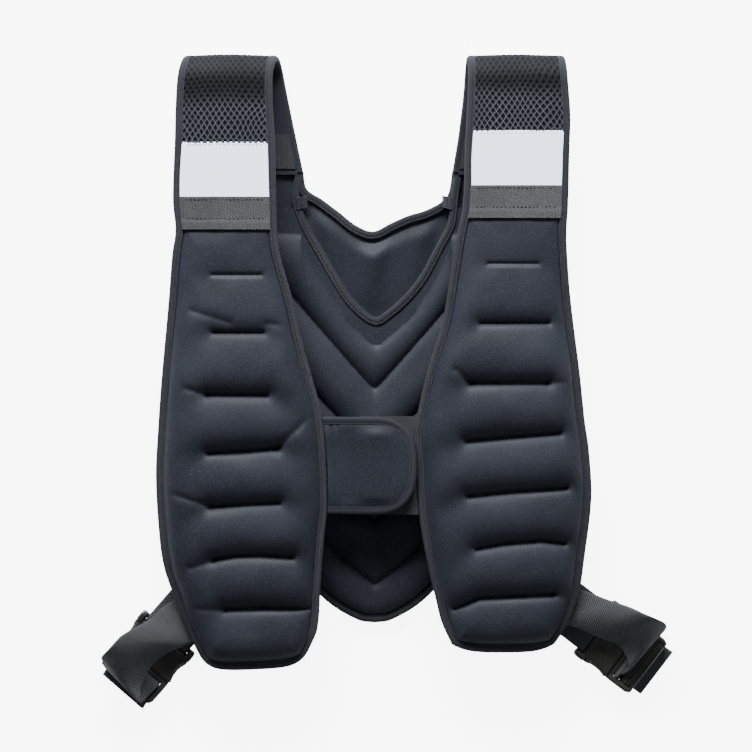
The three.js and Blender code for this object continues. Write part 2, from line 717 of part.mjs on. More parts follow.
const slotInner = buckleLength * 0.11;                    // near wall of the ladder slot
const tailZ = floorClear + webThick / 2;
const prongTop = buckleLift + (buckleThick + prongThick) / 2;
const plyClear = gap + webThick / 2;                      // middle of a ply over what it rests on
const rearZ = prongTop + plyClear;

// Lowest point of the given geometries over a strip of the webbing, in the buckle's frame.
function undersideOver(seat, geometries, from, to) {
  let low = Infinity;
  const point = vec(0, 0, 0);
  for (const geometry of geometries) {
    const { position } = geometry.attributes;
    for (let i = 0; i < position.count; i += 1) {
      point.fromBufferAttribute(position, i);
      const local = vec(point.x - seat.x, point.y - seat.y, 0).applyAxisAngle(vec(0, 0, 1), -rad(seat.angle));
      if (local.x > from && local.x < to && Math.abs(local.y) < webWidth * 0.66) {
        low = Math.min(low, point.z);
      }
    }
  }
  return low;
}

// Side webbing in its buckle's frame: over the buckle, round the loop, down the slot and out as a tail.
function sideWebbing(side, over) {
  const turn = loopTurn[side.name];
  const tail = tailEnd[side.name];
  const plies = frontPly[side.name];
  const flip = side.sign;
  const start = plies[0].along * buckleLength;
  const seatZ = undersideOver(seatOf(side), over, start - 6, start + webWidth) - plyClear;
  const stations = plies.map((row) => station(row.along * buckleLength,
    flip * row.aside * webWidth, row.up * seatZ, 0, flip * row.skew, flip * row.roll));
  const frontZ = rearZ + pliesApart;
  const middleZ = (frontZ + rearZ) / 2;
  for (const angle of [60, 90, 120, 150, 180]) {
    const t = angle / 180;
    const out = (turn.along * buckleLength) - pliesApart / 2 * (1 - Math.sin(rad(angle)));
    const aside = mix(turn.aside, turn.aside * 0.3, ease((t - 0.3) / 0.7)) * webWidth;
    const z = middleZ + pliesApart / 2 * Math.cos(rad(angle));
    stations.push(station(out, flip * aside, z, angle, flip * turn.skew * (1 - t)));
  }
  const bar = slotInner + slotRun;
  stations.push(station(bar + 0.4, 0, rearZ, 180));
  stations.push(station(bar - plyClear * 0.75, 0, prongTop + plyClear * 0.75, 135));
  stations.push(station(bar - plyClear, 0, prongTop - 0.8, 90));
  stations.push(station(bar - plyClear, 0, tailZ + 2.6, 90));
  stations.push(station(bar - plyClear * 0.4, 0, tailZ + 0.8, 45));
  stations.push(station(bar + 2.6, 0, tailZ, 0));
  const endX = tail.along * buckleLength;
  stations.push(station(mix(bar, endX, 0.5), flip * tail.aside * webWidth * 0.5, tailZ, 0));
  stations.push(station(endX, flip * tail.aside * webWidth, tailZ, 0));
  return ribbon(stations);
}

// Solid from a plan shape, rounded like moulded plastic, between two levels.
function plate(shape, thick, bevel) {
  const body = new THREE.ExtrudeGeometry(shape, {
    depth: thick - 2 * bevel, bevelThickness: bevel, bevelSize: bevel, bevelOffset: -bevel,
    bevelSegments: 2, curveSegments: 4,
  });
  body.translate(0, 0, bevel);
  return body;
}

function toSolid(geometry) {
  const bare = geometry.index ? geometry.toNonIndexed() : geometry.clone();
  bare.deleteAttribute('normal');
  bare.deleteAttribute('uv');
  const merged = mergeVertices(bare, 1e-4);
  return new wasm.Manifold(new wasm.Mesh({
    numProp: 3,
    vertProperties: new Float32Array(merged.attributes.position.array),
    triVerts: new Uint32Array(merged.index.array),
  }));
}

function fromSolid(solid) {
  const mesh = solid.getMesh();
  const geometry = new THREE.BufferGeometry();
  geometry.setAttribute('position', new THREE.BufferAttribute(new Float32Array(mesh.vertProperties), 3));
  geometry.setIndex(Array.from(mesh.triVerts));
  geometry.computeVertexNormals();
  return geometry;
}

function block(x0, x1, halfY, z0, z1, y = 0) {
  const box = new THREE.BoxGeometry(x1 - x0, halfY * 2, z1 - z0);
  box.translate((x0 + x1) / 2, y, (z0 + z1) / 2);
  return toSolid(box);
}

// Plan outline of a buckle half, symmetrical about its axis, from points on one side.
function halfOutline(points) {
  const shape = new THREE.Shape();
  shape.moveTo(points[0][0], points[0][1]);
  points.slice(1).forEach(([x, y]) => shape.lineTo(x, y));
  [...points].reverse().forEach(([x, y]) => shape.lineTo(x, -y));
  shape.closePath();
  return shape;
}

const halfBuckle = buckleLength / 2;
const socketEnd = buckleLength * 0.07;
const webSlot = webWidth / 2 + slotPlay;

function buckleSocket() {
  const h = buckleWidth / 2;
  const outline = halfOutline([
    [-halfBuckle, h * 0.9], [-halfBuckle * 0.94, h * 0.98], [-halfBuckle * 0.6, h],
    [-halfBuckle * 0.42, h * 0.93], [-halfBuckle * 0.1, h * 0.93], [socketEnd, h * 0.99],
  ]);
  const body = toSolid(plate(outline, buckleThick, 1.2));
  const barEnd = -halfBuckle + barThick;
  const slot = block(barEnd, barEnd + slotRun, webSlot, -1, buckleThick + 1);
  const middle = buckleThick / 2;
  const cavity = block(-halfBuckle * 0.42, socketEnd + 1, h * 0.76, middle - 3.6, middle + 3.6);
  const window = block(-halfBuckle * 0.3, -halfBuckle * 0.02, h + 2, middle - 3.4, middle + 3.4);
  const thinBar = block(-halfBuckle - 1, barEnd + slotRun, webSlot, middle + barHalf, buckleThick + 1);
  const thinUnder = block(-halfBuckle - 1, barEnd + slotRun, webSlot, -1, middle - barHalf);
  return fromSolid(body.subtract(slot).subtract(cavity).subtract(window).subtract(thinBar)
    .subtract(thinUnder));
}

function buckleProng() {
  const h = buckleWidth / 2;
  const base = socketEnd + gap;
  const outline = halfOutline([
    [base, h * 0.97], [halfBuckle * 0.5, h * 0.97], [halfBuckle * 0.9, h * 0.98], [halfBuckle, h * 0.84],
  ]);
  const low = (buckleThick - prongThick) / 2;
  const body = toSolid(plate(outline, prongThick, 1)).translate([0, 0, low]);
  const middle = buckleThick / 2;
  const slot = block(slotInner, slotInner + slotRun, webSlot, -1, buckleThick + 1);
  const second = block(slotInner + slotRun + 3.6, slotInner + slotRun * 1.7 + 3.6, webSlot, -1,
    buckleThick + 1);
  const tipX = -halfBuckle * 0.36;
  let solid = body.subtract(slot).subtract(second);
  for (const y of [-h * 0.6, 0, h * 0.6]) {
    const wide = y === 0 ? h * 0.1 : h * 0.13;
    solid = solid.add(block(tipX, base + 1, wide, middle - 3, middle + 3, y));
  }
  return fromSolid(solid);
}

// Distance from a point along a direction to a path in the plane.
function rayToPath(origin, way, path) {
  let nearest = Infinity;
  for (let i = 0; i < path.length - 1; i += 1) {
    const edge = path[i + 1].clone().sub(path[i]);
    const to = path[i].clone().sub(origin);
    const cross = way.cross(edge);
    const distance = to.cross(edge) / cross;
    const share = to.cross(way) / cross;
    if (distance > 0 && share >= 0 && share <= 1) nearest = Math.min(nearest, distance);
  }
  return nearest;
}

// Length of webbing between a buckle and the back's tape.
function webRunOf(seat) {
  const axis = new THREE.Vector2(Math.cos(rad(seat.angle)), Math.sin(rad(seat.angle)));
  const across = new THREE.Vector2(-axis.y, axis.x);
  const path = rimPath();
  const runs = [-0.5, -0.25, 0, 0.25, 0.5].map((share) => {
    const origin = new THREE.Vector2(seat.x, seat.y).addScaledVector(across, share * webWidth);
    return rayToPath(origin, axis.clone().negate(), path);
  });
  return Math.min(...runs) - buckleLength / 2 - gap;
}

// Webbing from the back to the buckle's bar: over the bar, through the slot and back underneath.
function backWebbing(side) {
  const run = webRunOf(seatOf(side));
  const middle = buckleLift + buckleThick / 2;
  const bar = -halfBuckle + barThick / 2;
  const over = barHalf + plyClear;
  const start = -halfBuckle - run;
  const backZ = floorClear + backTapeHeight / 2;
  const down = bar + barThick / 2 + plyClear;
  const round = plyClear * 0.8;
  const stations = [
    station(start, 0, backZ, 0),
    station(start + run * 0.35, 0, backZ + 1, 0),
    station(-halfBuckle - barApproach, 0, middle + over, 0),
    station(bar, 0, middle + over, 0),
    station(bar + barThick / 2 + round, 0, middle + barHalf + round, 45),
    station(down, 0, middle + 0.8, 90),
    station(down, 0, middle - 0.8, 90),
    station(bar + barThick / 2 + round, 0, middle - barHalf - round, 135),
    station(bar, 0, middle - over, 180),
    station(-halfBuckle - barApproach, 0, middle - over + 0.6, 180),
    station(-halfBuckle - barReturn, 0, middle - over + 1, 180),
  ];
  return ribbon(stations);
}

function addSide(side, over) {
  const seat = seatOf(side);
  const place = new THREE.Group();
  place.position.set(seat.x, seat.y, 0);
  place.rotation.z = rad(seat.angle);
  addMesh(`side_webbing_${side.name}`, sideWebbing(side, over), webbing, place);
  addMesh(`back_webbing_${side.name}`, backWebbing(side), webbing, place);
  const buckle = new THREE.Group();
  buckle.position.z = buckleLift;
  addMesh(`buckle_socket_${side.name}`, buckleSocket(), acetal, buckle);
  addMesh(`buckle_prong_${side.name}`, buckleProng(), acetal, buckle);
  place.add(buckle);
  group.add(place);
}

const overLeft = addFront(left);
const overRight = addFront(right);
addBack();
addChest();
addSide(left, overLeft);
addSide(right, overRight);

// The origin is under the middle of the whole vest, on the floor.
group.updateMatrixWorld(true);
const box = new THREE.Box3().setFromObject(group);
const middle = box.getCenter(vec(0, 0, 0));
group.position.set(-middle.x, -middle.y, -box.min.z);

const vest = new THREE.Group();
vest.add(group);
export default vest;
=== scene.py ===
import json
import math

import bpy
import numpy as np
from mathutils import Matrix, Vector

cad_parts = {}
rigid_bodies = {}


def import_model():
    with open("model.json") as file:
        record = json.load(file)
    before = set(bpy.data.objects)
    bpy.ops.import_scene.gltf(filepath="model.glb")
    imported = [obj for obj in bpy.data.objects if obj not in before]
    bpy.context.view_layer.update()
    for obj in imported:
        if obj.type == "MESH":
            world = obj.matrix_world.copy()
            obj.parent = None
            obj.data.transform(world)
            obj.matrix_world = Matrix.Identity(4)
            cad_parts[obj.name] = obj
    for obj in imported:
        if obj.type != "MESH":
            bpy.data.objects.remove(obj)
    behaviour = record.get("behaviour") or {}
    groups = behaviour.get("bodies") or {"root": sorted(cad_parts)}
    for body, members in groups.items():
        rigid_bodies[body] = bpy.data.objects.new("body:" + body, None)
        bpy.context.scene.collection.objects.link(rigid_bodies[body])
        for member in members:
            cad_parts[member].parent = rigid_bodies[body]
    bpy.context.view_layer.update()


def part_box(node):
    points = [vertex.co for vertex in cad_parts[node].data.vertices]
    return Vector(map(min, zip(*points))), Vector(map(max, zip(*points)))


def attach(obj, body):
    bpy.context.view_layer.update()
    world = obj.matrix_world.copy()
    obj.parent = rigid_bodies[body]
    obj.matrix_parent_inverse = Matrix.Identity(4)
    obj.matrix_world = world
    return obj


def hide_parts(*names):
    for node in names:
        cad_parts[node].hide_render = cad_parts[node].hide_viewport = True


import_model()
print("frame loaded")

mm = 0.001

# The vest's own frame in millimetres: x across, y towards the shoulder folds, z up from the floor
vest = {
    "halfWidth": 201,
    "reach": 532,          # fold line down to the panels' bottom row
    "foldY": 258,
    "foldRadius": 20,
    "foldReach": 1.2,      # the fold stands that much farther out than a round one
    "earRun": 80,          # strap behind the fold
    "pulledBack": 10.6,    # the right strap goes that much farther over the fold
    "shellTop": 178,
    "gap": 0.3,
    "tapeWidth": 7.2,
    "tapeHeight": 5.6,
}
shellLow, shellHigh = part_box("back_shell")
originX = (shellLow[0] + shellHigh[0]) / 2 / mm
originY = shellHigh[1] / mm - (vest["shellTop"] - vest["gap"])
foldArc = math.pi * vest["foldRadius"]
foldZ = vest["gap"] + vest["tapeHeight"] / 2 + vest["foldRadius"]

# Edges of both straps and panels: share of reach below the fold line, share of halfWidth from the middle
edges = {
    "left": {
        "sign": -1, "drawn": 0, "tilt": 4.6, "sag": 7.4,
        "outer": [(-0.27, 0.84), (-0.14, 0.87), (-0.06, 0.88), (0, 0.908), (0.11, 0.919), (0.21, 0.927),
                  (0.26, 0.915), (0.3, 0.93), (0.38, 0.948), (0.51, 0.98), (0.6, 0.997), (0.69, 1.008),
                  (0.8, 0.99), (0.85, 0.968), (0.9, 0.922), (0.94, 0.886), (0.97, 0.849), (1, 0.808)],
        "inner": [(-0.27, 0.334), (-0.21, 0.367), (-0.14, 0.405), (-0.06, 0.445), (0, 0.469), (0.11, 0.457),
                  (0.26, 0.447), (0.3, 0.435), (0.385, 0.373), (0.45, 0.334), (0.52, 0.283), (0.57, 0.247),
                  (0.63, 0.226), (0.74, 0.216), (0.79, 0.23), (0.87, 0.247), (0.96, 0.263), (1, 0.304)],
    },
    "right": {
        "sign": 1, "drawn": vest["pulledBack"], "tilt": 0, "sag": 0,
        "outer": [(-0.25, 0.85), (-0.14, 0.868), (-0.04, 0.879), (0.02, 0.89), (0.08, 0.901), (0.135, 0.897),
                  (0.24, 0.89), (0.285, 0.883), (0.34, 0.89), (0.4, 0.904), (0.54, 0.95), (0.61, 0.969),
                  (0.66, 0.988), (0.745, 1), (0.85, 0.968), (0.91, 0.944), (0.96, 0.899), (1, 0.831)],
        "inner": [(-0.25, 0.364), (-0.18, 0.394), (-0.09, 0.42), (0.02, 0.429), (0.135, 0.416), (0.24, 0.405),
                  (0.29, 0.378), (0.365, 0.346), (0.44, 0.311), (0.52, 0.247), (0.6, 0.197), (0.64, 0.183),
                  (0.68, 0.19), (0.78, 0.207), (0.87, 0.249), (0.92, 0.281), (0.96, 0.307), (1, 0.355)],
    },
}


# Numbers and curves

def mix(a, b, t):
    return a + (b - a) * t


def ease(t):
    t = np.clip(t, 0, 1)
    return t * t * (3 - 2 * t)


def readTable(rows, at):
    xs, ys = np.array(rows, float).T
    at = np.clip(at, xs[0], xs[-1])
    slopes = np.diff(ys) / np.diff(xs)
    slopes = np.r_[slopes, slopes[-1]]
    slopes[1:-1] = (ys[2:] - ys[:-2]) / (xs[2:] - xs[:-2])
    i = np.clip(np.searchsorted(xs, at, side="right") - 1, 0, len(xs) - 2)
    span = xs[i + 1] - xs[i]
    t = (at - xs[i]) / span
    smooth = t * t * (3 - 2 * t)
    rise = slopes[i] * span * t * (1 - t) ** 2 - slopes[i + 1] * span * t * t * (1 - t)
    return mix(ys[i], ys[i + 1], smooth) + rise


def softNoise(x, y, size, seed):
    rng = np.random.RandomState(seed)
    lattice = rng.uniform(-1, 1, (64, 64))
    u, v = np.asarray(x) / size + 1000.0, np.asarray(y) / size + 1000.0
    i, j = np.floor(u).astype(int), np.floor(v).astype(int)
    s, t = ease(u - i), ease(v - j)
    a, b = lattice[i % 64, j % 64], lattice[(i + 1) % 64, j % 64]
    c, d = lattice[i % 64, (j + 1) % 64], lattice[(i + 1) % 64, (j + 1) % 64]
    return mix(mix(a, b, s), mix(c, d, s), t)


def offsetPath(path, distance, side):
    path = np.asarray(path, float)
    before = np.vstack([path[1] - path[0], path[1:] - path[:-1]])
    after = np.vstack([path[1:] - path[:-1], path[-1] - path[-2]])
    before /= np.linalg.norm(before, axis=1)[:, None]
    after /= np.linalg.norm(after, axis=1)[:, None]
    way = before + after
    way /= np.linalg.norm(way, axis=1)[:, None]
    bend = np.maximum((way * before).sum(1), 0.6)[:, None]
    return path + np.stack([-way[:, 1], way[:, 0]], 1) * side * distance / bend


def resample(path, step):
    path = np.asarray(path, float)
    run = np.r_[0, np.cumsum(np.linalg.norm(np.diff(path, axis=0), axis=1))]
    count = max(int(run[-1] / step), 1)
    at = np.linspace(0, run[-1], count + 1)
    return np.stack([np.interp(at, run, path[:, k]) for k in range(path.shape[1])], 1)


def curveThrough(knots, rows, at):
    spans = np.diff(knots).reshape(-1, *[1] * (rows.ndim - 1))
    steps = np.diff(rows, axis=0) / spans
    slopes = np.concatenate([steps[:1], (steps[:-1] * spans[1:] + steps[1:] * spans[:-1])
                             / (spans[1:] + spans[:-1]), steps[-1:]])
    i = np.clip(np.searchsorted(knots, at, side="right") - 1, 0, len(knots) - 2)
    h = spans[i]
    t = (at - knots[i]).reshape(h.shape) / h
    return (rows[i] * (1 + 2 * t) * (1 - t) ** 2 + slopes[i] * h * t * (1 - t) ** 2
            + rows[i + 1] * t * t * (3 - 2 * t) - slopes[i + 1] * h * t * t * (1 - t))


# Padded cloth is blown up a little by Blender's cloth, held along its seams and edges

swelling = {
    "frames": 18, "quality": 6,
    "every": 2,            # the cloth takes every second row and column of the piece
    "mass": 0.25, "tension": 22, "shear": 4, "bending": 9,
    "slack": -0.001,       # below zero, so the cloth is a little larger than the piece
    "pressure": 2.6,
    "cap": 4,              # no point moves farther than this
    "eased": 5,            # rounds of smoothing
}


def swell(name, top, held):
    rows, columns = top.shape[:2]
    every = swelling["every"]
    rowPick = np.unique(np.r_[np.arange(0, rows, every), rows - 1])
    columnPick = np.unique(np.r_[np.arange(0, columns, every), columns - 1])
    coarse = top[np.ix_(rowPick, columnPick)]
    pins = held[np.ix_(rowPick, columnPick)].ravel()
    n, m = coarse.shape[:2]
    corner = (np.arange(n - 1)[:, None] * m + np.arange(m - 1)[None]).ravel()
    faces = np.stack([corner, corner + m, corner + m + 1, corner + 1], 1).tolist()
    mesh = bpy.data.meshes.new(name)
    mesh.from_pydata((coarse.reshape(-1, 3) * mm).tolist(), [], faces)
    normal = np.cross(coarse[1, 0] - coarse[0, 0], coarse[0, 1] - coarse[0, 0])
    if normal[2] < 0:
        mesh.flip_normals()
    cloth = bpy.data.objects.new(name, mesh)
    bpy.context.scene.collection.objects.link(cloth)
    group = cloth.vertex_groups.new(name="sewn")
    group.add(np.flatnonzero(pins).tolist(), 1.0, "REPLACE")
    modifier = cloth.modifiers.new("swell", "CLOTH")
    settings = modifier.settings
    settings.quality = swelling["quality"]
    settings.mass = swelling["mass"]
    settings.tension_stiffness = swelling["tension"]
    settings.compression_stiffness = swelling["tension"]
    settings.shear_stiffness = swelling["shear"]
    settings.bending_stiffness = swelling["bending"]
    settings.shrink_min = swelling["slack"]
    settings.vertex_group_mass = "sewn"
    settings.use_pressure = True
    settings.uniform_pressure_force = swelling["pressure"]
    settings.effector_weights.gravity = 0
    modifier.collision_settings.use_collision = False
    modifier.point_cache.frame_start = 1
    modifier.point_cache.frame_end = swelling["frames"]
    for frameNumber in range(1, swelling["frames"] + 1):
        bpy.context.scene.frame_set(frameNumber)
    result = cloth.evaluated_get(bpy.context.evaluated_depsgraph_get()).to_mesh()
    spots = np.zeros(n * m * 3)
    result.vertices.foreach_get("co", spots)
    moved = spots.reshape(n, m, 3) / mm - coarse
    bpy.data.objects.remove(cloth)
    bpy.context.scene.frame_set(1)
    size = np.linalg.norm(moved, axis=2, keepdims=True)
    moved = moved * np.minimum(1, swelling["cap"] / np.maximum(size, 1e-6))
    print(name, "swelled by", round(float(size.mean()), 2), "to", round(float(size.max()), 2), "mm")
    for _ in range(swelling["eased"]):
        moved[1:-1] = (moved[:-2] + 2 * moved[1:-1] + moved[2:]) / 4
        moved[:, 1:-1] = (moved[:, :-2] + 2 * moved[:, 1:-1] + moved[:, 2:]) / 4
    moved = curveThrough(rowPick.astype(float), moved, np.arange(rows, dtype=float))
    moved = curveThrough(columnPick.astype(float), moved.transpose(1, 0, 2), np.arange(columns, dtype=float))
    return top + moved.transpose(1, 0, 2)


# Meshes

def newObject(name, points, faces, uvs=None, sharpAngle=50):
    points = np.asarray(points, float).reshape(-1, 3)
    points = (points + [originX, originY, 0]) * mm
    mesh = bpy.data.meshes.new(name)
    mesh.from_pydata(points.tolist(), [], faces)
    if uvs is not None:
        uvs = np.asarray(uvs, float).reshape(-1, 2)
        layer = mesh.uv_layers.new(name="cloth")
        loops = np.zeros(len(mesh.loops), int)
        mesh.loops.foreach_get("vertex_index", loops)
        layer.data.foreach_set("uv", uvs[loops].ravel())
    mesh.validate()
    mesh.shade_smooth()
    mesh.set_sharp_from_angle(angle=math.radians(sharpAngle))
    piece = bpy.data.objects.new(name, mesh)
    bpy.context.scene.collection.objects.link(piece)
    return piece


def slab(name, top, bottom, uvs):
    rows, columns = top.shape[:2]
    under = rows * columns
    faces = []
    for i in range(rows - 1):
        for j in range(columns - 1):
            a = i * columns + j
            faces.append((a, a + 1, a + 1 + columns, a + columns))
            faces.append((under + a, under + a + columns, under + a + 1 + columns, under + a + 1))
    rim = list(range(columns - 1))
    rim += [i * columns + columns - 1 for i in range(rows - 1)]
    rim += [(rows - 1) * columns + j for j in range(columns - 1, 0, -1)]
    rim += [i * columns for i in range(rows - 1, 0, -1)]
    for k, a in enumerate(rim):
        b = rim[(k + 1) % len(rim)]
        faces.append((b, a, under + a, under + b))
    piece = newObject(name, np.concatenate([top.reshape(-1, 3), bottom.reshape(-1, 3)]), faces,
                      np.concatenate([uvs.reshape(-1, 2), uvs.reshape(-1, 2)]))
    outward(piece)
    return piece


def outward(piece):
    mesh = piece.data
    mesh.calc_loop_triangles()
    corners = np.zeros(len(mesh.vertices) * 3)
    mesh.vertices.foreach_get("co", corners)
    corners = corners.reshape(-1, 3)
    triangles = np.zeros(len(mesh.loop_triangles) * 3, int)
    mesh.loop_triangles.foreach_get("vertices", triangles)
    a, b, c = corners[triangles.reshape(-1, 3)].transpose(1, 0, 2)
    if (a * np.cross(b, c)).sum() < 0:
        mesh.flip_normals()


def tubeFaces(base, stations, size):
    faces = []
    for i in range(stations - 1):
        for j in range(size):
            a, b = base + i * size + j, base + i * size + (j + 1) % size
            faces.append((a, b, b + size, a + size))
    faces.append(tuple(range(base + size - 1, base - 1, -1)))
    faces.append(tuple(base + (stations - 1) * size + j for j in range(size)))
    return faces


def place(piece, slotName, *nodes):
    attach(piece, "root")
    if nodes:
        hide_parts(*nodes)


# Straps and panels: a plan point is (x, run), run being the way along the cloth below the fold line

def outlineX(side, edge, run):
    table = edges[side]
    return table["sign"] * vest["halfWidth"] * readTable(table[edge], run / vest["reach"])


def bothEdges(side, run, inset=0):
    sign = edges[side]["sign"]
    return outlineX(side, "outer", run) - sign * inset, outlineX(side, "inner", run) + sign * inset


hanging = {
    "start": 137, "lead": 3.4, "over": 0.2,         # where a strap turns into its panel
    "rise": 1.2, "outer": 8, "inner": 4.5, "end": 3, "run": 62,  # how far the panel's edges sink
    "crown": 1.6,
    "roundEnd": 7.4,
}


def panelShare(run):
    return ease((run - hanging["start"] + hanging["lead"]) / (vest["reach"] * hanging["over"]))


def hang(side, x, run):
    outer, inner = [hanging[name] * (1 - np.clip(np.abs(edge - x) / hanging["run"], 0, 1)) ** 2
                    for name, edge in zip(("outer", "inner"), bothEdges(side, run))]
    end = hanging["end"] * ease((run - vest["reach"] * 0.8) / (vest["reach"] * 0.2))
    return panelShare(run) * (hanging["rise"] - outer - inner - end)


def drape(side, x, run, lift):
    x, run = np.broadcast_arrays(np.asarray(x, float), np.asarray(run, float))
    outer, inner = bothEdges(side, run)
    across = 2 * (x - outer) / (inner - outer) - 1
    off = lift - hanging["crown"] * (1 - panelShare(run)) * across ** 2
    way = run - edges[side]["drawn"]
    radius = vest["foldRadius"]
    turn = np.clip(-way / radius, 0, math.pi)
    frontY = vest["foldY"] - np.maximum(way, 0)
    behind = np.maximum(-way - foldArc, 0)
    y = frontY + (radius * vest["foldReach"] + off) * np.sin(turn) - behind
    z = foldZ + (radius + off) * np.cos(turn)
    z = z + np.where(way > 0, hang(side, x, run), 0)
    return np.stack([x, y, z], -1)


def bottomRow(side, t):
    reach = vest["reach"]
    x = mix(*bothEdges(side, reach), t)
    sag = edges[side]["sag"] * (1 - (2 * t - 1) ** 8)
    bulge = hanging["roundEnd"] * (1 - (2 * t - 1) ** 4)
    return np.stack([x, reach - edges[side]["tilt"] * t + bulge + sag], -1)


def sheetOutline(side, start, step=4):
    reach = vest["reach"]
    runs = np.linspace(start, reach, int((reach - start) / step))
    outer = np.stack([outlineX(side, "outer", runs), runs], 1)
    bottom = bottomRow(side, np.linspace(0, 1, 30)[1:-1])
    tilt = edges[side]["tilt"] * ease((runs - reach * 0.9) / (reach * 0.1))
    inner = np.stack([outlineX(side, "inner", runs), runs - tilt], 1)
    return np.concatenate([outer, bottom, inner[::-1]])


# A sewn channel falls to its seam steeply from above and slowly from below
groove = {"lip": 0.3, "lipWide": 2.6, "slope": 0.64, "above": 12, "below": 23}


def grooveDepth(d, past):  # past: mm beyond the seam, towards the hem
    above = np.exp(-(d / groove["above"]) ** 1.4)
    below = np.exp(-d / groove["below"])
    turn = 2 + 0.6 * d
    slope = groove["slope"] * mix(above, below, ease((past + turn) / turn / 2))
    return groove["lip"] * np.exp(-d / groove["lipWide"]) + slope


def nearPath(x, y, path):
    best = np.full(np.shape(x), 1e9)
    for (x0, y0), (x1, y1) in zip(path[:-1], path[1:]):
        dx, dy = x1 - x0, y1 - y0
        t = np.clip(((x - x0) * dx + (y - y0) * dy) / (dx * dx + dy * dy), 0, 1)
        best = np.minimum(best, np.hypot(x - x0 - t * dx, y - y0 - t * dy))
    return best


# Front panels: seams and creases in plan millimetres (x, run), with the depth of each
panel = {
    "rows": 270, "columns": 96,
    "inset": 1.4,          # between the panel's rim and the outer edge of its tape
    "start": 134.1, "hem": 137.5,
    "top": 14.5, "belly": 6, "edge": 2, "crownRun": 25,
    "hemFill": 0.12, "fillRun": 170,  # the filling grows from the strap's end down the panel
    "stitchDip": 1.3, "stitchWide": 1.8, "sewnWide": 2.3, "creaseWide": 3.4,
    "seams": {
        "left": [
            (0.6, [(-150, 179.8), (-104.7, 179.8)]), (0.9, [(-148.6, 233.2), (-102.6, 233.2)]),
            (1, [(-154.1, 290.4), (-99.4, 290.9)]), (1, [(-153.2, 344.5), (-120, 342.6), (-88.3, 339.9)]),
            (1, [(-151.3, 394.2), (-120, 391.6), (-88.3, 390.1)]),
            (1, [(-148.6, 442.6), (-128, 439.2), (-106, 438.6), (-75.9, 440.4)]),
            (1, [(-137.5, 488.4), (-100, 487.4), (-60.5, 488.2)]),
        ],
        "right": [
            (0.5, [(104.4, 180.3), (150.4, 180.3)]), (0.9, [(98, 235.2), (160.5, 234.8)]),
            (1, [(87.9, 290.4), (159.6, 290)]), (1, [(85.1, 344), (125, 340.2), (170.7, 336.7)]),
            (1, [(86.4, 394.6), (130, 390.4), (176.8, 387.3)]),
            (1, [(94.3, 443.1), (119.6, 438.5), (154.1, 435.7), (175.3, 438.5)]),
            (1, [(73.8, 498.6), (96.7, 488.8), (125.3, 487.2), (165.1, 485.4)]),
        ],
    },
    "creases": {
        "left": [
            (1.6, [(-168.8, 212.9), (-133.9, 224)]), (1.4, [(-98.9, 224.9), (-81.4, 226.7)]),
            (1.8, [(-173.4, 284.7), (-154.1, 291.1)]), (2.2, [(-90, 339.9), (-57.5, 308.6)]),
            (2, [(-184.5, 382.2), (-153.2, 392.3)]), (1.8, [(-169.7, 450.3), (-148.6, 442.9)]),
            (1.3, [(-165, 488), (-137.5, 488.4)]),
        ],
        "right": [
            (2, [(75, 277.8), (87.9, 290.4)]), (1.4, [(159.6, 290), (174.3, 290)]),
            (1.5, [(165.1, 485.4), (178, 488)]),
        ],
    },
}


def panelFill(side, x, run, edge):
    full = np.sqrt(1 - (1 - np.clip(edge / panel["crownRun"], 0, 1)) ** 2)
    for depth, path in panel["seams"][side]:
        past = run - np.interp(x, *np.transpose(path))
        full = full * (1 - depth * grooveDepth(nearPath(x, run, path), past))
    return full


def panelPlan(side):
    reach, inset = vest["reach"], panel["inset"]
    s = np.linspace(0, 1, panel["rows"])
    t = np.linspace(0, 1, panel["columns"])
    t = mix(t, (1 - np.cos(t * math.pi)) / 2, 0.35)  # closer columns at both edges
    run = mix(panel["start"], reach, s)[:, None] * np.ones((1, panel["columns"]))
    low = bottomRow(side, t)
    tilt = edges[side]["tilt"] * ease((run - reach * 0.9) / (reach * 0.1)) * t
    outer, inner = bothEdges(side, run, inset)
    bulge = (low[:, 1] - reach + edges[side]["tilt"] * t)[None] * (s[:, None] ** 7)
    run = run - tilt + bulge - inset * (s[:, None] ** 9)
    return mix(outer, inner, t[None]), run


def frontPanel(side):
    x, run = panelPlan(side)
    toOuter, toInner = [np.abs(x - edge) for edge in bothEdges(side, run)]
    toEnd = run[-1:] - run + panel["inset"]
    edge = np.minimum.reduce([toOuter, toInner, toEnd]) - vest["tapeWidth"] - 0.5
    edge = np.maximum(np.minimum(edge, run - panel["hem"]), 0)
    full = panelFill(side, x, run, edge)
    full = full * mix(panel["hemFill"], 1, ease((run - panel["hem"] + 8) / panel["fillRun"]))
    away = ease(edge / 16)
    relief = (softNoise(x, run, 38, 3) * 0.8 + softNoise(x, run, 15, 4) * 0.25) * away
    for deep, path in panel["creases"][side]:
        relief = relief - deep * np.exp(-(nearPath(x, run, path) / panel["creaseWide"]) ** 1.3) * away
    toSeam = np.minimum.reduce([nearPath(x, run, path) for _, path in panel["seams"][side]])
    relief = relief - panel["stitchDip"] * np.exp(-(toSeam / panel["stitchWide"]) ** 2)
    top = drape(side, x, run, strap["skin"] + panel["top"] * full + relief)
    top = swell(f"front_swell_{side}", top, (toSeam < panel["sewnWide"]) | (edge < 0.6))
    bottom = drape(side, x, run, -(panel["edge"] + panel["belly"] * full))
    piece = slab(f"front_cloth_{side}", top, bottom, np.stack([x, run], -1))
    place(piece, "neoprene", f"front_panel_{side}")


# Edge tapes: a folded strip of cloth with a line of stitches near its inner edge
tapeLook = {"round": 2.3, "stitchInset": 4.5, "stitchLength": 2.5, "stitchPitch": 3.6, "stitchRadius": 0.36}


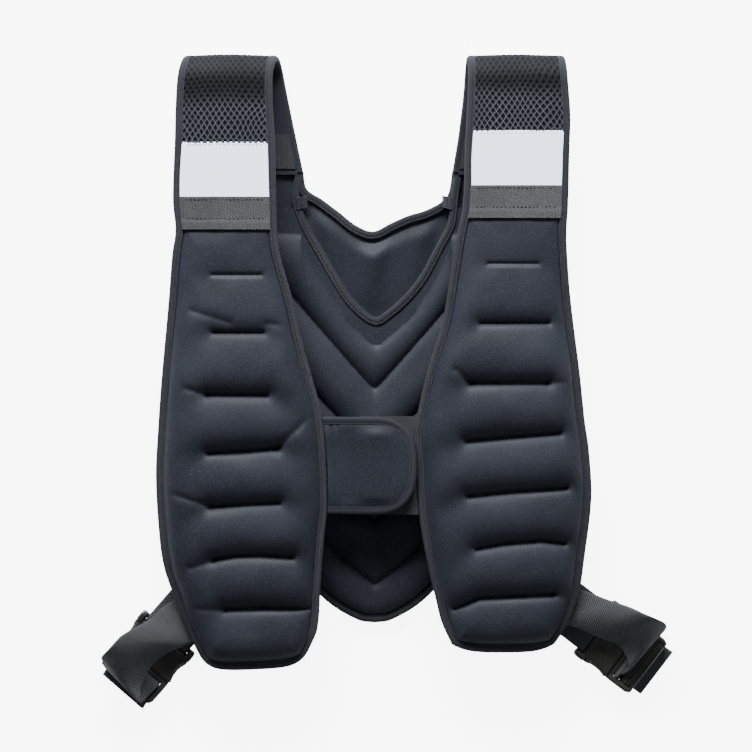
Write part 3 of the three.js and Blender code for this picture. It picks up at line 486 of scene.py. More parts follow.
def tapePiece(name, path, side, height, put, nodes, cut="y"):
    path = resample(path, 2)
    width = vest["tapeWidth"]
    inner = offsetPath(path, width, side)
    axis = 0 if cut == "x" else 1
    inner[0, axis], inner[-1, axis] = path[0, axis], path[-1, axis]
    half = height / 2
    bend = tapeLook["round"]
    section = [(bend - bend * math.cos(a), half * math.sin(a))
               for a in np.linspace(-math.pi / 2, math.pi / 2, 9)]
    section += [(width * 0.62, half + 0.12), (width * 0.74, half - 0.3), (width * 0.84, half + 0.1),
                (width, half - 0.3), (width, 0.3 - half), (width * 0.7, -half)]
    way = (inner - path) / width
    loops = np.stack([put(*(path + way * inward).T, lift) for inward, lift in section], 1)
    run = np.r_[0, np.cumsum(np.linalg.norm(np.diff(path, axis=0), axis=1))]
    around = np.linspace(0, 2 * width + height, len(section))
    uvs = np.stack(np.broadcast_arrays(around[None], run[:, None]), -1)
    piece = newObject(name, loops, tubeFaces(0, *loops.shape[:2]), uvs)
    outward(piece)
    place(piece, "edge_tape", *nodes)
    line = path + way * tapeLook["stitchInset"]
    stitchRow(f"{name}_stitches", [line], lambda x, y, lift: put(x, y, half - 0.25 + lift))


def stitchRow(name, lines, put, radius=tapeLook["stitchRadius"], length=tapeLook["stitchLength"],
              pitch=tapeLook["stitchPitch"]):
    around = np.linspace(0, 2 * math.pi, 6)[:-1]
    rings = [(-0.5, 0.3, -0.35), (-0.28, 1, 0.15), (0.28, 1, 0.15), (0.5, 0.3, -0.35)]
    points, faces = [], []
    for line in lines:
        line = resample(line, pitch)
        middle = (line[1:] + line[:-1]) / 2
        way = line[1:] - line[:-1]
        way = way / np.linalg.norm(way, axis=1)[:, None]
        sideways = np.stack([-way[:, 1], way[:, 0]], 1)
        loops = []
        for along, wide, lift in rings:
            for a in around:
                spot = middle + way * along * length + sideways * math.cos(a) * radius * wide
                loops.append(put(spot[:, 0], spot[:, 1], lift + math.sin(a) * radius * wide))
        block = np.stack(loops, 1)
        base = sum(len(p) for p in points)
        points.append(block.reshape(-1, 3))
        for k in range(len(block)):
            faces += tubeFaces(base + k * block.shape[1], len(rings), len(around))
    place(newObject(name, np.concatenate(points), faces), "edge_tape")


def frontTape(side):
    start = edges[side]["drawn"] - foldArc - vest["earRun"] - 1.6
    tapePiece(f"front_tape_{side}", sheetOutline(side, start), edges[side]["sign"], vest["tapeHeight"],
              lambda x, run, lift: drape(side, x, run, lift), [f"front_binding_{side}"])


# Layers of a shoulder strap, each between the taped edges: heights over the middle of the strap
strap = {
    "inner": -2.4, "skin": 0.9, "meshTop": 2.4, "patchTop": 2.35, "bandTop": 2.7,
    "meshBack": 103, "patchStart": 57, "patchEnd": 107.6, "bandEnd": 137.2, "hemLine": 129.5,
    "inset": 6.3, "padInset": 5.6, "seamInset": 9,
}


def strapLayer(name, side, start, end, low, high, step, relief=None, inset=strap["inset"], under=None,
               warp=None):
    rows = max(int((end - start) / step), 3)
    columns = int(92 / step)
    run = np.linspace(start, end, rows)[:, None] * np.ones((1, columns))
    t = np.linspace(0, 1, columns)[None] * np.ones((rows, 1))
    x = mix(*bothEdges(side, run, inset), t)
    extra = relief(x, run) if relief else 0
    below = under(x, run) if under else 0
    uvs = np.stack(warp(x, run) if warp else (x, run), -1)
    return slab(name, drape(side, x, run, high + extra), drape(side, x, run, low + below), uvs)


def laidLayer(name, side, start, end, low, high, step, slotName, nodes, **ways):
    piece = strapLayer(f"{name}_{side}", side, start, end, low, high, step, **ways)
    place(piece, slotName, *nodes)
    outer, inner = bothEdges(side, np.linspace(start, end, 40))


net = {"wide": 5.4, "long": 8, "deep": 0.6, "pressedFrom": -6, "pressedTo": 22, "wobble": 1.9}


def netWarp(x, run):
    return x + net["wobble"] * softNoise(x, run, 21, 50), run + net["wobble"] * softNoise(x, run, 17, 51)


def netRelief(x, run):
    x, run = netWarp(x, run)
    a = (x / net["wide"] + run / net["long"]) * math.pi
    b = (x / net["wide"] - run / net["long"]) * math.pi
    hole = np.clip(np.abs(np.sin(a) * np.sin(b)) * 2.4 - 1.2, 0, 1)
    ridge = np.exp(-(np.minimum(np.abs(np.sin(a)), np.abs(np.sin(b))) / 0.22) ** 2)
    return 0.3 * ridge - net["deep"] * ease(hole)


def strapPieces(side):
    drawn = edges[side]["drawn"]
    start = drawn - foldArc - vest["earRun"] + vest["gap"]
    pad = strapLayer(f"strap_padding_{side}", side, start - 4, panel["start"] - 0.5, strap["inner"],
                     strap["skin"], 2.4, under=lambda x, run: softNoise(x, run, 26, 9) * 0.25,
                     inset=strap["padInset"])
    place(pad, "neoprene", f"strap_pad_{side}")

    def meshRelief(x, run):
        pressed = ease((run - net["pressedFrom"]) / (net["pressedTo"] - net["pressedFrom"]))
        return netRelief(x, run) * mix(0.75, 1, pressed) + softNoise(x, run, 22, 10) * 0.15

    def patchRelief(x, run):
        return softNoise(x, run, 28, 11) * 0.18 - 0.3 * ease(1 - (run - strap["patchStart"]) / 2.2)

    def bandRelief(x, run):
        hem = ease((run - strap["hemLine"] + 1) / 1.6) * 0.9
        pull = softNoise(x * 1.6, run * 0.35, 14, 12) * 0.28
        return hem + pull - 0.35 * np.exp(-((run - strap["hemLine"]) / 0.8) ** 2)

    laidLayer("shoulder_net", side, drawn - strap["meshBack"], strap["patchStart"] + 1.5, strap["skin"] + 0.15,
              strap["meshTop"], 0.95, "air_mesh", [f"shoulder_mesh_{side}"], relief=meshRelief, warp=netWarp)
    laidLayer("inner_band", side, drawn - foldArc - vest["earRun"] + 1.5, drawn - foldArc - 46,
              strap["inner"] + 0.4, strap["inner"], 1.4, "webbing", [],
              under=lambda x, run: -1.5 + softNoise(x, run, 16, 13) * 0.25)
    laidLayer("reflector", side, strap["patchStart"], strap["patchEnd"] + 1, strap["skin"] + 0.7,
              strap["patchTop"] + 0.35, 2, "reflective", [f"reflective_patch_{side}"], relief=patchRelief)
    laidLayer("strap_ribbon", side, strap["patchEnd"], strap["bandEnd"] + 0.6, strap["skin"] + 0.5,
              strap["bandTop"] + 0.2, 1.3, "twill_band", [f"strap_band_{side}"], relief=bandRelief)

    def across(run):
        outer, inner = bothEdges(side, run, strap["seamInset"])
        xs = np.linspace(mix(outer, inner, 0.03), mix(outer, inner, 0.97), 30)
        return np.stack([xs, np.full(30, float(run))], 1)

    stitchRow(f"band_stitches_{side}", [across(strap["hemLine"] - 1.8), across(strap["patchEnd"] + 2.6)],
              lambda x, run, lift: drape(side, x, run, strap["bandTop"] + 0.2 + lift))
    stitchRow(f"patch_seam_{side}", [across(strap["patchStart"] + 2.4)],
              lambda x, run, lift: drape(side, x, run, strap["patchTop"] + 0.3 + lift))


# Back: two plies, the lower one flat on the floor, the upper one padded with chevron seams
back = {
    "half": 184, "bottom": 247, "thick": 2.6, "padTop": 35, "padEdge": 4, "padCrown": 12, "crownRun": 27,
    "inset": 1.5, "tapeHeight": 7.6, "plyGrid": (120, 150), "padGrid": (190, 190),
    "neckHalf": 67, "neckDepth": 57, "neckWide": 75, "veeHalf": 70, "veeDepth": 137,
    "side": [(0, 0.95), (0.2, 0.955), (0.45, 0.985), (0.62, 1), (0.76, 0.95), (1, 0.83)],
    "hem": [(0, 0), (0.1, 0.01), (0.29, 0.08), (0.55, 0.24), (0.86, 0.39), (1, 0.5)],
    "neck": [(-1, 0), (-0.95, 0.3), (-0.74, 0.47), (-0.5, 0.68), (-0.26, 0.9), (-0.02, 1), (0.22, 0.87),
             (0.47, 0.74), (0.7, 0.66), (0.93, 0.52), (1.04, 0.36), (1.09, 0)],
    "vee": [(-0.955, 0.03), (-0.985, 0.1), (-1, 0.2), (-0.94, 0.3), (-0.83, 0.42), (-0.66, 0.57),
            (-0.48, 0.73), (-0.29, 0.88), (-0.02, 1), (0.13, 0.975), (0.39, 0.86), (0.61, 0.72),
            (0.81, 0.53), (0.97, 0.37), (1.01, 0.24), (1.03, 0.14), (1.06, 0.05)],
    "knot": {"x": 68.4, "half": 3.8, "y": 152.5, "height": 10, "rows": 8, "thread": 0.75},
    "puff": 3.5,
    "folds": [(6.5, -1.5, 0.08, 11), (5, -46, -0.1, 12), (4.5, 45, 0.15, 12)],  # height, x, lean, half width
    "firstTip": 208, "tipPitch": 61, "slopeFirst": 1.15, "slopeLast": 0.88,     # the chevron seams
}


def hemY(across):
    return -back["bottom"] + back["bottom"] * readTable(back["hem"], np.abs(across))


def backWidth(y):
    down = (vest["shellTop"] - y) / (vest["shellTop"] - hemY(1.0))
    return back["half"] * readTable(back["side"], np.clip(down, 0, 1))


def smoothCurve(points, step=2):
    points = np.asarray(points, float)
    padded = np.vstack([2 * points[0] - points[1], points, 2 * points[-1] - points[-2]])
    out = []
    for k in range(1, len(padded) - 2):
        a, b, c, d = padded[k - 1:k + 3]
        t = np.linspace(0, 1, 12, endpoint=False)[:, None]
        out.append(0.5 * (2 * b + (c - a) * t + (2 * a - 5 * b + 4 * c - d) * t ** 2
                          + (3 * b - 3 * c + d - a) * t ** 3))
    out.append(points[-1:])
    return resample(np.concatenate(out), step)


def backRim():
    low = float(hemY(1.0))
    ys = np.linspace(vest["shellTop"] - vest["gap"], low, 120)
    leftSide = np.stack([-backWidth(ys), ys], 1)
    across = np.linspace(-1, 1, 120)[1:-1]
    hem = np.stack([across * float(backWidth(low)), hemY(across)], 1)
    rightSide = leftSide[::-1] * [-1, 1]
    return np.concatenate([leftSide, hem, rightSide])


def neckCurve(rows, half, depth):
    return smoothCurve([(a * half, vest["shellTop"] - d * depth) for a, d in rows])


def curveAt(path, x):
    return np.interp(x, path[:, 0], path[:, 1])


def columnsGrid(topOf, lowOf, rimHalf, rows, columns):
    across = np.linspace(-1, 1, columns)
    # A column's x depends on its top and the top on x, so both are found by turns
    top = np.full(columns, 140.0)
    for _ in range(12):
        top = topOf(across * rimHalf(top))
    low = lowOf(across)
    y = mix(top[None], low[None], np.linspace(0, 1, rows)[:, None])
    x = across[None] * rimHalf(y)
    return x, y


def chevronFill(x, y):
    drop = vest["shellTop"] - y
    full = np.ones_like(x)
    for k in range(4):
        slope = mix(back["slopeFirst"], back["slopeLast"], k / 3)
        line = back["firstTip"] + back["tipPitch"] * k - slope * np.sqrt(x * x + 9)
        off = np.abs(drop - line) * math.cos(math.atan(slope))
        full = full * (1 - grooveDepth(off, drop - line))
    return full


def backPieces():
    rim = backRim()
    neck = neckCurve(back["neck"], back["neckHalf"], back["neckDepth"])
    vee = neckCurve(back["vee"], back["veeHalf"], back["veeDepth"])
    rimIn = offsetPath(rim, back["inset"], 1)
    neckIn = offsetPath(neck, back["inset"], -1)
    veeIn = offsetPath(vee, back["inset"], -1)
    veeIn = veeIn[np.r_[True, np.diff(veeIn[:, 0]) > 0]]
    leftRim = rimIn[rimIn[:, 0] < 0][:120]
    leftRim = leftRim[np.argsort(leftRim[:, 1])]
    hemIn = rimIn[110:-110]
    shoulder = vest["shellTop"] - 1
    padTop = vest["shellTop"] - back["padTop"]

    def half(y):
        return -curveAt(leftRim[:, ::-1], y)

    def neckLine(x):
        return np.where(np.abs(x) > back["neckWide"], shoulder, np.minimum(curveAt(neckIn, x), shoulder))

    def veeLine(x):
        return np.minimum(np.interp(x, veeIn[:, 0], veeIn[:, 1], left=padTop, right=padTop), padTop)

    def hemLine(across):
        return curveAt(hemIn, across * -hemIn[0, 0])

    # Outer ply, from both shoulders down to the hem
    x, y = columnsGrid(neckLine, hemLine, half, *back["plyGrid"])
    toNeck = curveAt(neckIn, x) - y
    toVee = y - curveAt(veeIn, x)
    # The ply is loose between its neck and the V of the padded ply, and folds there
    loose = ease((toNeck - 7) / 18) * np.clip((toVee - 4) / 62, 0, 1) * ease((68 - np.abs(x)) / 18)
    fold = sum(high * np.exp(-((x - at - (y - 90) * lean) / wide) ** 2)
               for high, at, lean, wide in back["folds"])
    lift = softNoise(x, y, 40, 20) * 0.25 + (back["puff"] + fold + softNoise(x, y, 24, 20) * 0.8) * loose
    top = np.stack([x, y, back["thick"] + lift], -1)
    under = np.stack([x, y, np.full_like(x, 0.1)], -1)
    shell = slab("back_outer_ply", top, under, np.stack([x, y], -1))
    place(shell, "neoprene", "back_shell")
    # Padded ply
    x, y = columnsGrid(veeLine, hemLine, half, *back["padGrid"])
    level = back["thick"] + vest["gap"]
    toSide = half(y) - np.abs(x)
    toTop = y[:1] - y
    toLow = y - y[-1:]
    edge = np.maximum(np.minimum.reduce([toSide, toTop * 0.24, toLow * 0.9]) - vest["tapeWidth"] + 1, 0)
    full = np.sqrt(1 - (1 - np.clip(edge / back["crownRun"], 0, 1)) ** 2) * chevronFill(x, y)
    relief = (softNoise(x, y, 36, 21) * 0.7 + softNoise(x, y, 14, 22) * 0.25) * ease(edge / 15)
    top = np.stack([x, y, level + back["padEdge"] + back["padCrown"] * full + relief], -1)
    seamed = chevronFill(x, y) < 0.4
    top = swell("back_swell", top, seamed | (edge < 0.6))
    pad = slab("back_padding", top, np.stack([x, y, np.full_like(x, level + 0.1)], -1), np.stack([x, y], -1))
    place(pad, "neoprene", "back_pad")
    low = vest["gap"]

    def levelPut(base, height):
        return lambda x, y, lift: np.stack(np.broadcast_arrays(x, y, base + height / 2 + lift), -1)

    neck[0, 1] -= vest["gap"]
    neck[-1, 1] -= vest["gap"]
    high = vest["tapeHeight"]
    tapePiece("neck_tape", neck, -1, high, levelPut(low, high), ["neck_binding"])
    tapePiece("vee_tape", vee, -1, high, levelPut(level, high), ["back_pad_binding"])
    knot = back["knot"]
    rows = np.linspace(0, knot["height"], knot["rows"])
    for side, sign in (("left", -1), ("right", 1)):
        outer, inner = sign * (knot["x"] + knot["half"]), sign * (knot["x"] - knot["half"])
        lines = [np.array([(outer, knot["y"] - r - 1), (inner, knot["y"] - r + 1)]) for r in rows]
        stitchRow(f"neck_tack_{side}", lines, levelPut(level + high / 2 + 0.2, high), knot["thread"],
                  knot["half"] * 2.1, knot["half"] * 1.02)
    tapePiece("back_tape", rim, 1, back["tapeHeight"], levelPut(low, back["tapeHeight"]), ["back_binding"])


# Chest closing: tab from the left panel over a loop band from the right panel
chest = {"length": 85.5, "height": 90, "centreY": -97.7, "rightX": 39, "rise": 7.4, "round": 42, "thick": 4.4,
         "bandLength": 52, "bandHeight": 91, "bandThick": 2, "innerDrop": 4.5}


def tabRise(x):
    t = (x - chest["rightX"] + chest["length"]) / chest["length"]
    return foldZ + vest["foldRadius"] + hanging["rise"] - chest["innerDrop"] + chest["rise"] * ease(t * 1.8)


def tabStartX(y):
    return outlineX("left", "inner", vest["foldY"] - y) + 0.7


def tabEndX(across, inset):
    curve = (1 - np.minimum(np.abs(across), 1) ** 2.6) ** (1 / 2.6)
    return chest["rightX"] - inset - (chest["round"] - inset) * (1 - curve)


def chestPieces():
    inset = 1.6
    across = np.sin(np.linspace(-1, 1, 70) * math.pi / 2)[:, None] * np.ones((1, 74))
    y = chest["centreY"] + across * (chest["height"] / 2 - inset)
    x = mix(tabStartX(y), tabEndX(across, inset), np.linspace(0, 1, 74)[None])
    fromLeft = x - tabStartX(y)
    toRight = tabEndX(across, 0) - x
    toSide = chest["height"] / 2 - np.abs(y - chest["centreY"])
    edge = np.clip(np.minimum(toRight, toSide) - vest["tapeWidth"], 0, 12)
    waves = 2.2 * np.exp(-((x - 2) / 15) ** 2) - 1.2 * np.exp(-((x + 24) / 10) ** 2)
    relief = 1.2 * np.sqrt(edge / 12) + (softNoise(x, y, 30, 30) * 0.9 + waves) * ease(edge / 10)
    relief = relief - 1.0 * np.exp(-((fromLeft - 6) / 1.6) ** 2) - 0.7 * np.exp(-((fromLeft - 12) / 1.3) ** 2)
    top = np.stack([x, y, tabRise(x) + chest["thick"] / 2 - 0.6 + relief], -1)
    under = np.stack([x, y, tabRise(x) - chest["thick"] / 2 + 0.3], -1)
    tab = slab("chest_flap", top, under, np.stack([x, y], -1))
    place(tab, "neoprene", "chest_tab")
    high = chest["centreY"] + chest["height"] / 2
    low = chest["centreY"] - chest["height"] / 2
    flat = chest["rightX"] - chest["round"]
    turns = np.sin(np.linspace(1, -1, 60) * math.pi / 2)
    path = [(mix(float(tabStartX(high)), flat, k / 8), high) for k in range(8)]
    path += [(float(tabEndX(a, 0)), chest["centreY"] + a * chest["height"] / 2) for a in turns]
    path += [(mix(float(tabStartX(low)), flat, k / 8), low) for k in range(7, -1, -1)]

    def onTab(x, y, lift):
        return np.stack(np.broadcast_arrays(x, y, tabRise(x) + lift), -1)

    tapePiece("flap_tape", np.array(path), -1, chest["thick"], onTab, ["chest_tab_binding"], "x")
    y = np.linspace(-0.5, 0.5, 60)[:, None] * np.ones((1, 36)) * chest["bandHeight"] + chest["centreY"]
    end = outlineX("right", "inner", vest["foldY"] - y + edges["right"]["drawn"]) - 0.7
    x = mix(end - chest["bandLength"], end, np.linspace(0, 1, 36)[None])
    level = foldZ + vest["foldRadius"] + hanging["rise"] - chest["innerDrop"]
    lift = softNoise(x, y, 20, 31) * 0.2
    top = np.stack([x, y, level + chest["bandThick"] / 2 + lift], -1)
    under = np.stack([x, y, level - chest["bandThick"] / 2 + lift], -1)
    band = slab("chest_loop_band", top, under, np.stack([x, y], -1))
    place(band, "webbing", "chest_band")


# Webbing and buckles: stations in the buckle's own frame, its axis pointing away from the vest
buckle = {
    "length": 65, "thick": 12.4, "prong": 9.6, "lift": 2.9, "slotRun": 5.4, "bar": 4.4, "barHalf": 2.2,
    "sides": 32, "square": 0.55,  # corners round a bar, and how square its section is (1 is an oval)
    "left": {"beyond": 50.592, "below": 5, "angle": -131},
    "right": {"beyond": 63.969, "below": 6.1, "angle": -37.4},
}
web = {
    "width": 50, "thick": 2, "apart": 10, "seat": 29.2, "run": {"left": 117.7, "right": 120.5},
    "columns": 27, "step": 1.6,
    # Each station: shares of the buckle's length, the width and the seat's height, then skew and roll
    "front": {
        "left": [(-1.16, -0.18, 0.8, -22, 0), (-0.86, -0.06, 0.96, -22, 0), (-0.6, -0.02, 1.04, -22, 2),
                 (-0.4, 0.08, 1.14, -20, 12), (-0.18, 0.2, 1.22, -17, 26), (0.13, 0.24, 1.2, -13, 34),
                 (0.36, 0.18, 1.04, 0, 22)],
        "right": [(-1.4, -0.16, 0.8, -24, 0), (-1.06, 0, 0.96, -24, 0), (-0.78, 0.13, 1.04, -27, 2),
                  (-0.51, 0.26, 1.12, -26, 12), (-0.25, 0.34, 1.2, -18, 26), (0.0, 0.42, 1.18, -11, 32),
                  (0.16, 0.4, 1.04, -8, 20)],
    },
    "turn": {"left": (0.5, 0.04, 9), "right": (0.29, 0.3, -8)},
    "tail": {"left": (0.63, -0.07), "right": (0.66, 0.02)},
}
webCloth = vest["gap"] + web["thick"] / 2
prongTop = buckle["lift"] + (buckle["thick"] + buckle["prong"]) / 2


def station(x, y, z, lean, skew=0, roll=0):
    skew, roll, lean = math.radians(skew), math.radians(roll), math.radians(lean)
    heading = Vector((math.cos(skew), math.sin(skew), 0))
    across = Matrix.Rotation(roll, 3, heading) @ Vector((-math.sin(skew), math.cos(skew), 0))
    face = Matrix.Rotation(lean, 3, across) @ (Matrix.Rotation(roll, 3, heading) @ Vector((0, 0, 1)))
    return np.array([x, y, z]), np.array(across), np.array(face)


def seatPlace(side, points):
    seat = buckle[side]
    turn = math.radians(seat["angle"])
    x = float(outlineX(side, "outer", np.array(float(vest["reach"])))) + edges[side]["sign"] * seat["beyond"]
    y = vest["foldY"] + edges[side]["drawn"] - vest["reach"] - seat["below"]
    c, s = math.cos(turn), math.sin(turn)
    return np.stack([x + points[..., 0] * c - points[..., 1] * s, y + points[..., 0] * s + points[..., 1] * c,
                     points[..., 2]], -1)


def ribbonPiece(name, side, stations, node):
    centres = np.array([s[0] for s in stations])
    across = np.array([s[1] for s in stations])
    faces = np.array([s[2] for s in stations])
    knots = np.r_[0, np.cumsum(np.linalg.norm(np.diff(centres, axis=0), axis=1))]
    columns = web["columns"]
    at = np.unique(np.concatenate([np.linspace(a, b, max(int((b - a) / web["step"]), 2))
                                   for a, b in zip(knots[:-1], knots[1:])]))
    centre, wide, face = [curveThrough(knots, rows, at) for rows in (centres, across, faces)]
    wide /= np.linalg.norm(wide, axis=1)[:, None]
    face -= wide * (face * wide).sum(1)[:, None]
    face /= np.linalg.norm(face, axis=1)[:, None]
    s = np.sin(np.linspace(-1, 1, columns) * math.pi / 2)
    thick = web["thick"] / 2 * (1 - 0.75 * np.abs(s) ** 24)
    run = at[:, None] * np.ones((1, columns))
    middle = centre[:, None] + wide[:, None] * (s * web["width"] / 2)[None, :, None]
    top = middle + face[:, None] * thick[None, :, None]
    under = middle - face[:, None] * thick[None, :, None]
    under[..., 2] = np.maximum(under[..., 2], 0.1)  # the tail lies on the floor, not in it
    uvs = np.stack([s[None] * web["width"] / 2 + 0 * run, run], -1)
    place(slab(name, seatPlace(side, top), seatPlace(side, under), uvs), "webbing", node)


def sideStrap(side):
    flip = edges[side]["sign"]
    length, width = buckle["length"], web["width"]
    rearZ = prongTop + webCloth
    stations = [station(a * length, flip * b * width, up * web["seat"], 0, flip * skew, flip * roll)
                for a, b, up, skew, roll in web["front"][side]]
    turnAlong, turnAside, turnSkew = web["turn"][side]
    middleZ = rearZ + web["apart"] / 2
    for angle in (60, 90, 120, 150, 180):
        t = angle / 180
        out = turnAlong * length - web["apart"] / 2 * (1 - math.sin(math.radians(angle)))
        aside = mix(turnAside, turnAside * 0.3, float(ease((t - 0.3) / 0.7))) * width
        z = middleZ + web["apart"] / 2 * math.cos(math.radians(angle))
        stations.append(station(out, flip * aside, z, angle, flip * turnSkew * (1 - t)))
    bar = length * 0.11 + buckle["slotRun"]
    tailZ = vest["gap"] + web["thick"] / 2
    tailAlong, tailAside = web["tail"][side]
    stations += [
        station(bar + 0.4, 0, rearZ, 180), station(bar - webCloth * 0.75, 0, prongTop + webCloth * 0.75, 135),
        station(bar - webCloth, 0, prongTop - 0.8, 90), station(bar - webCloth, 0, tailZ + 2.6, 90),
        station(bar - webCloth * 0.4, 0, tailZ + 0.8, 45), station(bar + 2.6, 0, tailZ, 0),
        station(mix(bar, tailAlong * length, 0.5), flip * tailAside * width * 0.5, tailZ, 0),
        station(tailAlong * length, flip * tailAside * width, tailZ, 0),
    ]
    ribbonPiece(f"side_strap_{side}", side, stations, f"side_webbing_{side}")


def backStrap(side):
    run = web["run"][side]
    halfLength = buckle["length"] / 2
    middle = buckle["lift"] + buckle["thick"] / 2
    bar = -halfLength + buckle["bar"] / 2
    over = buckle["barHalf"] + webCloth
    start = -halfLength - run
    backZ = vest["gap"] + back["tapeHeight"] / 2
    down = bar + buckle["bar"] / 2 + webCloth
    bend = webCloth * 0.8
    stations = [
        station(start, 0, backZ, 0), station(start + run * 0.35, 0, backZ + 1, 0),
        station(-halfLength - 14, 0, middle + over, 0), station(bar, 0, middle + over, 0),
        station(bar + buckle["bar"] / 2 + bend, 0, middle + buckle["barHalf"] + bend, 45),
        station(down, 0, middle + 0.8, 90), station(down, 0, middle - 0.8, 90),
        station(bar + buckle["bar"] / 2 + bend, 0, middle - buckle["barHalf"] - bend, 135),
        station(bar, 0, middle - over, 180), station(-halfLength - 14, 0, middle - over + 0.6, 180),
        station(-halfLength - 30, 0, middle - over + 1, 180),
    ]
    ribbonPiece(f"back_strap_{side}", side, stations, f"back_webbing_{side}")


# Each moulded bar or plate runs through stations: along, centre across, half width, half thickness.
# A pair of rails is given once, and its other rail mirrors it.
moulding = {
    "socket": [
        ("along", [(-26.2, 0, 28.4, 3.6), (-25.2, 0, 29.6, 5.6), (-23.5, 0, 30.6, 6.1), (-19.5, 0, 31.7, 6.2),
                   (-16, 0, 31, 6.2), (-13.6, 0, 29.9, 6.1), (-9, 0, 29.4, 6.2), (-3, 0, 29.8, 6.2),
                   (1, 0, 31, 6.2), (3.6, 0, 31.6, 6.1), (4.4, 0, 31, 5.4)]),
        ("rails", [(-32.4, 28.4, 1.2, 3), (-31.6, 28.2, 3.2, 5.2), (-29, 28.6, 3.5, 6.1),
                   (-22, 28.7, 3.4, 6.1)]),
        ("aside", [(-28, -30.3, 2.1, 2.2), (0, -30.3, 2.1, 2.2), (28, -30.3, 2.1, 2.2)]),
        ("raised", [(-20, 0, 4, 6.4), (-18, 0, 17, 6.8), (-6, 0, 19, 6.9), (-3.6, 0, 8, 6.4)]),
    ],
    "prong": [
        ("along", [(4.9, 0, 30.4, 4), (5.6, 0, 31, 4.7), (8.4, 0, 31, 4.8), (9.8, 0, 30.4, 4.5),
                   (10.3, 0, 29, 3.4)]),
        ("rails", [(7, 28.2, 2.9, 4.7), (18, 28.1, 3, 4.8), (28, 28.2, 2.8, 4.6), (32, 26.6, 2.4, 3.6),
                   (32.4, 26, 1.4, 2.4)]),
        ("aside", [(-28.4, 14.4, 1.75, 4.6), (0, 14.4, 1.8, 4.8), (28.4, 14.4, 1.75, 4.6)]),
        ("along", [(17, 0, 27, 2.6), (18, 0, 27.6, 4), (20, 0, 27.8, 4.7), (28, 0, 27.8, 4.6), (31.4, 0, 27, 4),
                   (32.4, 0, 26, 2.6)]),
        ("aside", [(-24, 22.2, 0.8, 5.4), (0, 22.2, 0.8, 5.5), (24, 22.2, 0.8, 5.4)]),
        ("aside", [(-24, 25.2, 0.8, 5.4), (0, 25.2, 0.8, 5.5), (24, 25.2, 0.8, 5.4)]),
    ],
}


def mouldedPiece(kind, side):
    sides, square = buckle["sides"], buckle["square"]
    turns = np.linspace(0, 2 * math.pi, sides + 1)[:-1]
    c, s = np.cos(turns), np.sin(turns)
    roundC, roundS = np.sign(c) * np.abs(c) ** square, np.sign(s) * np.abs(s) ** square
    middle = buckle["lift"] + buckle["thick"] / 2
    points, faces, bars = [], [], []
    for way, rows in moulding[kind]:
        bars.append((way, np.array(rows, float)))
        if way == "rails":
            bars.append((way, np.array(rows, float) * [1, -1, 1, 1]))
    for way, rows in bars:
        at = np.unique(np.concatenate([np.linspace(a, b, 7) for a, b in zip(rows[:-1, 0], rows[1:, 0])]))
        rows = np.stack([at] + [np.interp(at, rows[:, 0], rows[:, k]) for k in (1, 2, 3)], 1)
        run, centre, wide, thick = [rows[:, k][:, None] for k in range(4)]
        spread = centre + wide * roundC[None]
        height = middle + thick * roundS[None]
        if way == "raised":
            height = np.maximum(height, middle)
        run = run + 0 * spread
        loops = np.stack([spread, run, height] if way == "aside" else [run, spread, height], -1)
        base = sum(len(p) for p in points)
        points.append(loops.reshape(-1, 3))
        turned = -1 if way == "aside" else 1
        faces += [face[::turned] for face in tubeFaces(base, len(loops), sides)]
    points = seatPlace(side, np.concatenate(points))
    piece = newObject(f"buckle_{kind}_moulded_{side}", points, faces, sharpAngle=40)
    outward(piece)
    place(piece, "buckle", f"buckle_{kind}_{side}")


# Materials

def newGroup(name, inputs, outputs):
    group = bpy.data.node_groups.new(name, "ShaderNodeTree")
    for label, kind, value in inputs:
        socket = group.interface.new_socket(label, in_out="INPUT", socket_type=f"NodeSocket{kind}")
        socket.default_value = value
    for label, kind in outputs:
        group.interface.new_socket(label, in_out="OUTPUT", socket_type=f"NodeSocket{kind}")
    return group, group.nodes.new("NodeGroupInput"), group.nodes.new("NodeGroupOutput")


def addNode(tree, kind, settings=None, **links):
    node = tree.nodes.new(kind)
    for key, value in (settings or {}).items():
        setattr(node, key, value)
    for key, value in links.items():
        socket = node.inputs[int(key[1:]) if key[0] == "_" else key]  # _1 is the input's number
        if isinstance(value, bpy.types.NodeSocket):
            tree.links.new(value, socket)
        else:
            socket.default_value = value
    return node


def math2(tree, operation, a, b=0.0):
    return addNode(tree, "ShaderNodeMath", {"operation": operation}, _0=a, _1=b).outputs[0]


def clothGrainGroup():
    group, given, out = newGroup("clothGrain", [("Scale", "Float", 900.0), ("Patches", "Float", 14.0)],
                                 [("Height", "Float"), ("Speckle", "Float"), ("Shade", "Float")])
    place = addNode(group, "ShaderNodeTexCoord").outputs["Object"]
    scale = given.outputs["Scale"]
    fine = addNode(group, "ShaderNodeTexNoise", Vector=place, Scale=scale, Detail=3.0, Roughness=0.7)
    knit = addNode(group, "ShaderNodeTexVoronoi", Vector=place, Scale=scale)
    broad = addNode(group, "ShaderNodeTexNoise", Vector=place, Scale=given.outputs["Patches"], Detail=4.0)
    group.links.new(math2(group, "ADD", fine.outputs[0], knit.outputs[0]), out.inputs["Height"])
    speckle = addNode(group, "ShaderNodeMapRange", Value=fine.outputs[0], _1=0.5, _2=0.72)
    group.links.new(speckle.outputs[0], out.inputs["Speckle"])
    group.links.new(broad.outputs[0], out.inputs["Shade"])
    return group


